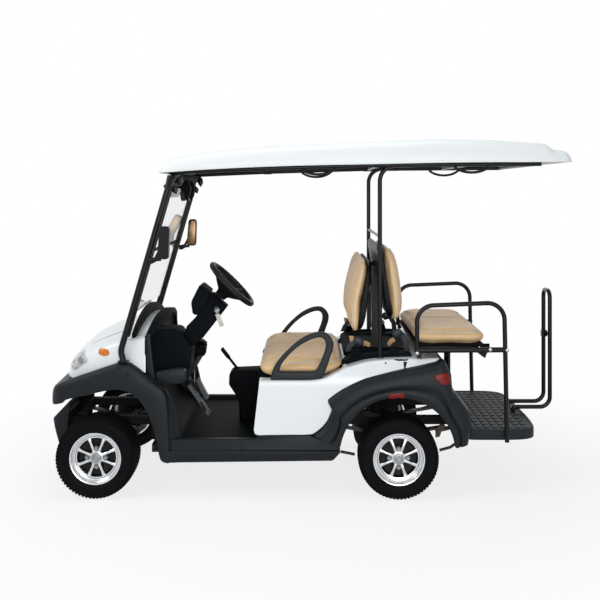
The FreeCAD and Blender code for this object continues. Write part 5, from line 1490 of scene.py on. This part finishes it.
# %% [markdown]
# The sill starts behind the leg of the bumper. A backing strip runs behind the joint, so that
# the joint is a shadow line and not a slit. Under the rear cushion a flat bar closes the frame
# between its cross tubes.

# %% Sill backing and seat skirt
hardware("sill_backing", GRAINED_BLACK, "black_body", [
    (front([(-366, 318), (-440, 318), (-440, 205), (-388, 201), (-372, 208), (-366, 224)]),
     500, 531, 2),
    (front([(-372, 262), (-440, 262), (-440, 198.5), (-402, 198), (-384, 204), (-374, 220)]),
     520, 546, 2)])
hardware("seat_frame_bars", POWDER_COAT, "black_frame", [
    (rear([(-114, 823.5), (-460, 823.5), (-460, 800), (-114, 800)]), 446, 451, 1),
    (rear([(-118, 806), (-460, 806), (-460, 800), (-118, 800)]), 451, 500, 1)])
hardware("frame_gussets", POWDER_COAT, "black_frame", [
    ([(-936, 802), (-1000, 802), (-992, 796), (-984, 772), (-978, 770)], 509, 515, 1)])

# %% [markdown]
# The foot board is a moulded tray. It has rounded corners, a raised border, and rows of small
# raised pads that a shoe can grip. A pad that would cross the border is left out.

# %% Foot board
BOARD_SIDE = [(-402, 60), (-402, 16), (-410, 6), (-440, 2), (-590, 0), (-650, 3), (-712, 14),
              (-756, 38), (-782, 76), (-795, 160), (-803, 280)]
PAD_COUNTS, PAD_PITCH = (8, 13), (44, 66)
PAD_FOOT, PAD_TOP = 354.5, 359.5
BOARD_RISE = [(14, 306), (1, 304), (0, 309), (0, 351), (2, 357), (8, 360), (20, 360), (26, 356),
              (30, 355)]
BOARD_MIDDLE = -1070.0
PAD = [(-16, -27), (16, -27), (16, 27), (-16, 27)]


def board_outline():
    """The plan of the foot board from its front left corner round to its front right one. The
    side is a list of (ahead of the rear axle, mm in from the full width)."""
    half = half_width("foot_board")
    line = [(x, half - inset) for x, inset in rear(BOARD_SIDE)] + rear([(-804, 60), (-804, 0)])
    line = through(line, 4)
    return line + [(x, -y) for x, y in reversed(line[:-1])]


def pad(shape, x, y):
    """One raised pad of the tread."""
    base = [shape.verts.new(Vector((x + a, y + b, PAD_FOOT)) * MM) for a, b in PAD]
    top = [shape.verts.new(Vector((x + a * 0.8, y + b * 0.88, PAD_TOP)) * MM) for a, b in PAD]
    shape.faces.new(top)
    for k in range(4):
        shape.faces.new((base[k], base[(k + 1) % 4], top[(k + 1) % 4], top[k]))


outline = board_outline()
shape = bmesh.new()
rings = []
for inset_mm, z in BOARD_RISE:
    ring = []
    for x, y in outline:
        away = Vector((x - BOARD_MIDDLE, y))
        away = away * (1 - inset_mm / max(away.length, 40))
        ring.append(Vector((BOARD_MIDDLE + away.x, away.y, z)) * MM)
    rings.append(ring)
grid = skin(shape, rings, ring=True)
shape.faces.new(grid[-1])
for column in range(PAD_COUNTS[0]):
    for row in range(PAD_COUNTS[1]):
        x, y = -925 - column * PAD_PITCH[0], (row - 6) * PAD_PITCH[1]
        room = max((b for a, b in outline if abs(a - x) < 45), default=0)
        if abs(y) + 28 <= room - 30:
            pad(shape, x, y)
board = make_piece("foot_board_tray", shape, BOARD_RUBBER, "floor_mat", 30)
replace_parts(board, "foot_board")
hardware("foot_board_arms", CHASSIS_BLACK, "chassis_paint", [
    (rear([(-780, 346), (-404, 346), (-404, 310), (-780, 326)]), 162, 198, 3)])

# %% [markdown]
# Long pedals hang from the dash. Their pads are ribbed rubber, pressed over a steel arm. Under
# the steering wheel a dished cover hides the joint of the spokes, and the key hangs below it.

# %% Pedal pads, hub and key
PAD_THICK, RIB_HEIGHT = 13, 2.6


def ribbed_pad(shape, top, low, y, half, ribs):
    """A pad from a top to a low point, (x, z) in mm, with ribs across its upper face."""
    along = Vector((low[0] - top[0], 0, low[1] - top[1]))
    out = Vector((along.z, 0, -along.x)).normalized()
    if out.z < 0:
        out = -out
    rows = []
    steps = ribs * 4
    for step in range(steps + 1):
        centre = Vector((top[0], y, top[1])) + along * (step / steps)
        lift = PAD_THICK + (RIB_HEIGHT if step % 4 in (1, 2) else 0)
        soft = half * (0.8 if step in (0, steps) else 1)
        section = ((-soft, -3), (-soft, lift - 3), (-soft + 4, lift), (soft - 4, lift),
                   (soft, lift - 3), (soft, -3))
        rows.append([(centre + Vector((0, across, 0)) + out * rise) * MM
                     for across, rise in section])
    grid = skin(shape, rows, ring=True)
    shape.faces.new(grid[0])
    shape.faces.new(grid[-1])


shape = bmesh.new()
ribbed_pad(shape, *front([(-468, 560), (-590, 384)]), 235, 29, 13)
ribbed_pad(shape, *front([(-500, 566), (-562, 446)]), 110, 32, 9)
make_piece("pedal_pads", shape, PEDAL_RUBBER, "black_body", 30)

WHEEL_MIDDLE = Vector((fx(-728) / MM, 280, 1155))
DOWN = Vector((1, 0, -1)).normalized()
ASIDE = Vector((0, 1, 0))
UP = DOWN.cross(ASIDE)
HUB_COVER = [(0.1, 16), (40, 15), (56, 18), (100, 8), (128, 1), (134, 1), (136, 5), (132, 11),
             (98, 34), (66, 56), (46, 68), (38, 76), (35, 86), (34, 98)]
rows = []
for step in range(49):
    turn = 2 * math.pi * step / 48
    spread = ASIDE * math.cos(turn) + UP * math.sin(turn)
    rows.append([(WHEEL_MIDDLE + spread * r + DOWN * d) * MM for r, d in HUB_COVER])
shape = bmesh.new()
skin(shape, rows)
weld(shape, 0.2)
make_piece("wheel_hub_cover", shape, CABIN_BLACK, "black_body", 40, "steering_wheel")

bar("key_ring", [(x, 373, z) for x, z in disc(520, 1012, 9, 20, 3)], 1.3, CHROME, "steel")
hardware("ignition_lock", CAST_ALLOY, "steel", [
    (disc(522, 1017, 16), 366, 370, 1.5),
    ([(516, 1015), (528, 1015), (526, 996), (518, 996)], 372, 374.5, 0.8)], mirror=False)
hardware("ignition_face", HARD_BLACK, "black_body", [
    (disc(522, 1017, 14), 368, 372, 0.6)], mirror=False)
hardware("key_tag", PIPING_VINYL, "steel", [
    ([(530, 990), (507, 998), (480, 928), (503, 918)], 372, 375, 0.8)], mirror=False)

# %% [markdown]
# The windscreen hangs from a header. At each end a steel bracket joins the post to the roof
# rail, with a clamp knob beside it, and two latch boxes hang near the middle. The side mirrors
# have their glass on the side that the driver sees.

# %% Header brackets and mirror glass
hardware("header_brackets", POWDER_COAT, "black_frame", [
    ([(790, 1700), (774, 1784), (750, 1797), (716, 1799), (712, 1782), (736, 1766), (752, 1740),
     (760, 1694)], 470, 477, 1.5),
    ([(744, 1772), (722, 1784), (704, 1780), (700, 1748), (716, 1722), (732, 1740)], 456, 469,
     1.5),
    ([(770, 1722), (748, 1730), (728, 1706), (738, 1678), (762, 1690)], 448, 468, 3)])
hardware("header_beam", CABIN_BLACK, "black_body", [
    ([(780, 1738), (778, 1774), (752, 1794), (728, 1794), (726, 1768), (748, 1740)], -446, 446,
     4)], mirror=False)
hardware("clamp_knobs", HARD_BLACK, "black_body", [(disc(793, 1722, 13, 14, 2.23), 478, 498, 3)])
hardware("header_latch", CABIN_BLACK, "black_body", [
    ([(770, 1752), (720, 1756), (706, 1712), (716, 1660), (738, 1640), (752, 1660), (764, 1700)],
     60, 128, 5),
    ([(742, 1660), (730, 1634), (722, 1636), (722, 1662)], 84, 100, 1.5)])

# The brown of the mirror glass is a painted reflection.
hardware("mirror_glass", MIRROR_PAINTED_REFLECTION, "alloy", [
    ([(818, 1334), (768, 1332), (763, 1492), (804, 1494)], 556.4, 559.4, 1)])
hardware("mirror_brackets", HARD_BLACK, "black_body", [
    ([(880, 1300), (858, 1296), (828, 1312), (806, 1312), (806, 1326), (834, 1330), (868, 1322)],
     556, 574, 4)])

# %% [markdown]
# Lap belts lie behind the seats. A strap of woven webbing comes up from the tub beside the
# deck, a plastic buckle sits on it, and the loose end falls over. Webbing is stiff on edge, so
# each strap is a flat band with a soft outline, and each buckle a rounded block with a slot.

# %% Belts and buckles
hardware("belt_buckles", WEBBING_CLIP, "black_body", [
    (rear([(242, 838), (236, 858), (200, 856), (178, 834), (184, 806), (222, 806)]), 336, 360, 7),
    (rear([(20, 872), (8, 898), (-28, 908), (-46, 886), (-38, 862), (-4, 850)]), 336, 360, 7),
    (rear([(222, 832), (208, 838), (206, 830), (220, 824)]), 360, 362, 1),
    (rear([(-6, 884), (-20, 888), (-22, 880), (-8, 876)]), 360, 362, 1)])
hardware("belt_webbing", WEBBING, "seat_vinyl", [
    (rear([(286, 776), (272, 812), (240, 852), (222, 832), (246, 800), (256, 776)]), 345, 351, 2),
    (rear([(-34, 896), (-62, 874), (-78, 830), (-84, 776), (-52, 776), (-48, 826), (-26, 864)]),
     345, 351, 2)])
hardware("belt_tails", TAN_WEBBING, "seat_vinyl", [
    (rear([(192, 840), (162, 834), (140, 822), (144, 800), (168, 806), (192, 812)]), 340, 346,
     2.5),
    (rear([(10, 856), (34, 842), (46, 820), (34, 802), (14, 822), (-6, 836)]), 340, 346, 2.5),
    (rear([(264, 866), (238, 864), (234, 840), (258, 830)]), 346, 353, 2.5)])
hardware("belt_anchor_rails", CABIN_BLACK, "black_body", [
    (rear([(322, 664), (318, 698), (292, 722), (262, 752), (150, 766), (-40, 771), (-92, 768),
     (-92, 735), (262, 700)]), 262, 402, 4),
    (rear([(286, 716), (286, 742), (262, 760), (150, 778), (-40, 782), (-86, 776), (-90, 758),
     (100, 752)]), 400, 438, 5),
    (rear([(262, 758), (246, 800), (206, 806), (196, 774)]), 404, 432, 5),
    (rear([(44, 776), (34, 816), (-6, 820), (-18, 780)]), 404, 432, 5)])

# %% [markdown]
# Under the front cushion lies the moulded board that the foam is glued to. It is a shallow
# tray, a little smaller than the cushion, so the vinyl wraps down past its edge.

# %% Seat board
def board_place(along, across, face):
    """Places of the board, just below the cushion's own underside."""
    x, y, z = bench_place("front_seat_pan", 0.0, 26, BEND)(along, across, face)
    return (x, y, z - 22)


seat_board = finish_piece("front_seat_board", pillow(board_place, 7.0, 6.0, 16), CABIN_BLACK,
                          "black_body", body="front_seat")
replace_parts(seat_board, "front_seat_pan")

# %% [markdown]
# The open side of the dash has a lighter moulded edge that laps the white shell, and a small
# tray by the driver's knee. Both are grained mouldings set a few millimetres proud.

# %% Dash edge and tray
dash_side = half_width("dashboard")
hardware("dash_edge_trims", GRAINED_BLACK, "black_body", [
    ([(914, 884), (914, 842), (905, 741), (892, 646), (868, 620), (852, 633), (862, 707),
     (872, 788), (879, 862), (882, 896), (896, 902)], dash_side - 8, dash_side + 3, 2.5)])
hardware("dash_trays", GRAINED_BLACK, "black_body", [
    ([(848, 688), (800, 696), (724, 708), (694, 704), (678, 684), (680, 642), (700, 622),
     (846, 614)], dash_side - 46, dash_side + 2, 7)])

# %% [markdown]
# The screen sits in rubber channels along its posts, which make the posts look broad from the
# side. Each channel is one long strip that follows the slant of the posts.

# %% Screen channels
POST_SLANT = 0.2897
screen_side = half_width("windscreen")


def beside_post(ahead, z):
    """A place a little ahead of the middle line of the windscreen posts, in mm."""
    return (fx(-134 - (z - 812) * POST_SLANT) / MM + ahead, z)


channel = [beside_post(*place) for place in ((21, 884), (21, 1694), (-23, 1694), (-23, 884))]
hardware("screen_channels", GRIP_RUBBER, "black_frame", [
    (channel, screen_side - 12, screen_side + 6, 3)])

# %% [markdown]
# The rim of the steering wheel wears a foam grip, thicker than the steel ring inside it. It is
# a ring of round sections that swell a little between the finger grooves.

# %% Foam grip
RIM_RADIUS, GRIP_RADIUS = 158.0, 16.0
GROOVES, GROOVE_DEPTH = 36, 0.5
steering = next(joint for joint in frame["joints"] if joint["name"] == "steering")
wheel_axis = Vector(steering["axis"]).normalized()
upward = wheel_axis.cross(ASIDE).normalized()
rim_middle = Vector((fx(-728), 0.280, 1.155))
rows = []
for turn in angles(144):
    out = ASIDE * math.cos(turn) + upward * math.sin(turn)
    reach = GRIP_RADIUS + GROOVE_DEPTH * math.cos(GROOVES * turn)
    rows.append([rim_middle + out * (RIM_RADIUS + reach * math.cos(k * math.pi / 9)) * MM
                 + wheel_axis * reach * math.sin(k * math.pi / 9) * MM for k in range(18)])
shape = bmesh.new()
skin(shape, rows + rows[:1], ring=True)
weld(shape, 0.2)
make_piece("steering_grip", shape, GRIP_RUBBER, "black_body", 60, "steering_wheel")

# %% [markdown]
# The grab handles under the canopy are bent rods with a soft plastic sleeve, thick enough for a
# hand.

# %% Canopy handles
SIDES = (("left", 1), ("right", -1))
HANDLE_Y = 490
HANDLE = ((98, 42), (78, 26), (36, 9), (-36, 9), (-78, 26), (-98, 42))
for row, middle_x, height in (("front", fx(-1227) / MM, 1779), ("rear", rx(-413) / MM, 1790)):
    for name, side in SIDES:
        points = [(middle_x + ahead, side * HANDLE_Y, height + rise) for ahead, rise in HANDLE]
        handle = bar(f"handle_{row}_{name}", points, 8, HARD_BLACK, "black_frame", 4)
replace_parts(handle, "roof_handles")

# %% [markdown]
# Last come the marks of assembly on the body: a finger slot and a screw on the tub, the seams
# of the bonnet, the brown spring hangers under the tail and the thin stay rods.

# %% Body details
inlay("tub_slots", tub, [(-482, 756.5), (-556, 756.5), (-556, 761.5), (-482, 761.5)],
      HARD_BLACK, "black_body", 0.8)
inlay("tub_screws", tub, oval(-430, 742, 9, 9), HARD_BLACK, "black_body", 1.2)
nose_surface = surface_of(nose)
seam_points = []
for ahead in (-200, -150, -100, -50, 0, 50, 100, 150):
    y = 334 - 40 * max(ahead - 40, 0) / 110
    above = Vector((fx(ahead), y * MM, ABOVE))
    hit, _, _, _ = nose_surface.ray_cast(above, Vector((0, 0, -1)))
    if hit is not None:
        seam_points.append(hit / MM)
sill_side = half_width("sills") - 0.3
for name, side in SIDES:
    bar(f"bonnet_seam_{name}", [(p.x, p.y * side, p.z + 0.2) for p in seam_points], 1.3,
        HARD_BLACK, "black_body")
for name, side in SIDES:
    bar(f"sill_seam_{name}", [(366, side * sill_side, z) for z in (226, 262, 298)], 1.3,
        HARD_BLACK, "black_body")
hardware("spring_hangers", RUSTED_STEEL, "steel", [
    ([(-718, 306), (-742, 312), (-752, 340), (-790, 348), (-796, 370), (-742, 374), (-718, 350)],
     432, 440, 2),
    ([(-718, 338), (-798, 354), (-798, 364), (-718, 350)], 420, 450, 2)])
STAY_RODS = {"": [(-182, 450, 232), (-262, 450, 216)],
             "rear_": [(-738, 452, 240), (-800, 455, 258), (-836, 455, 285)]}
for row, points in STAY_RODS.items():
    for name, side in SIDES:
        bar(f"stay_rod_{row}{name}", [(x, side * y, z) for x, y, z in points], 8, POWDER_COAT,
            "black_frame", 2)
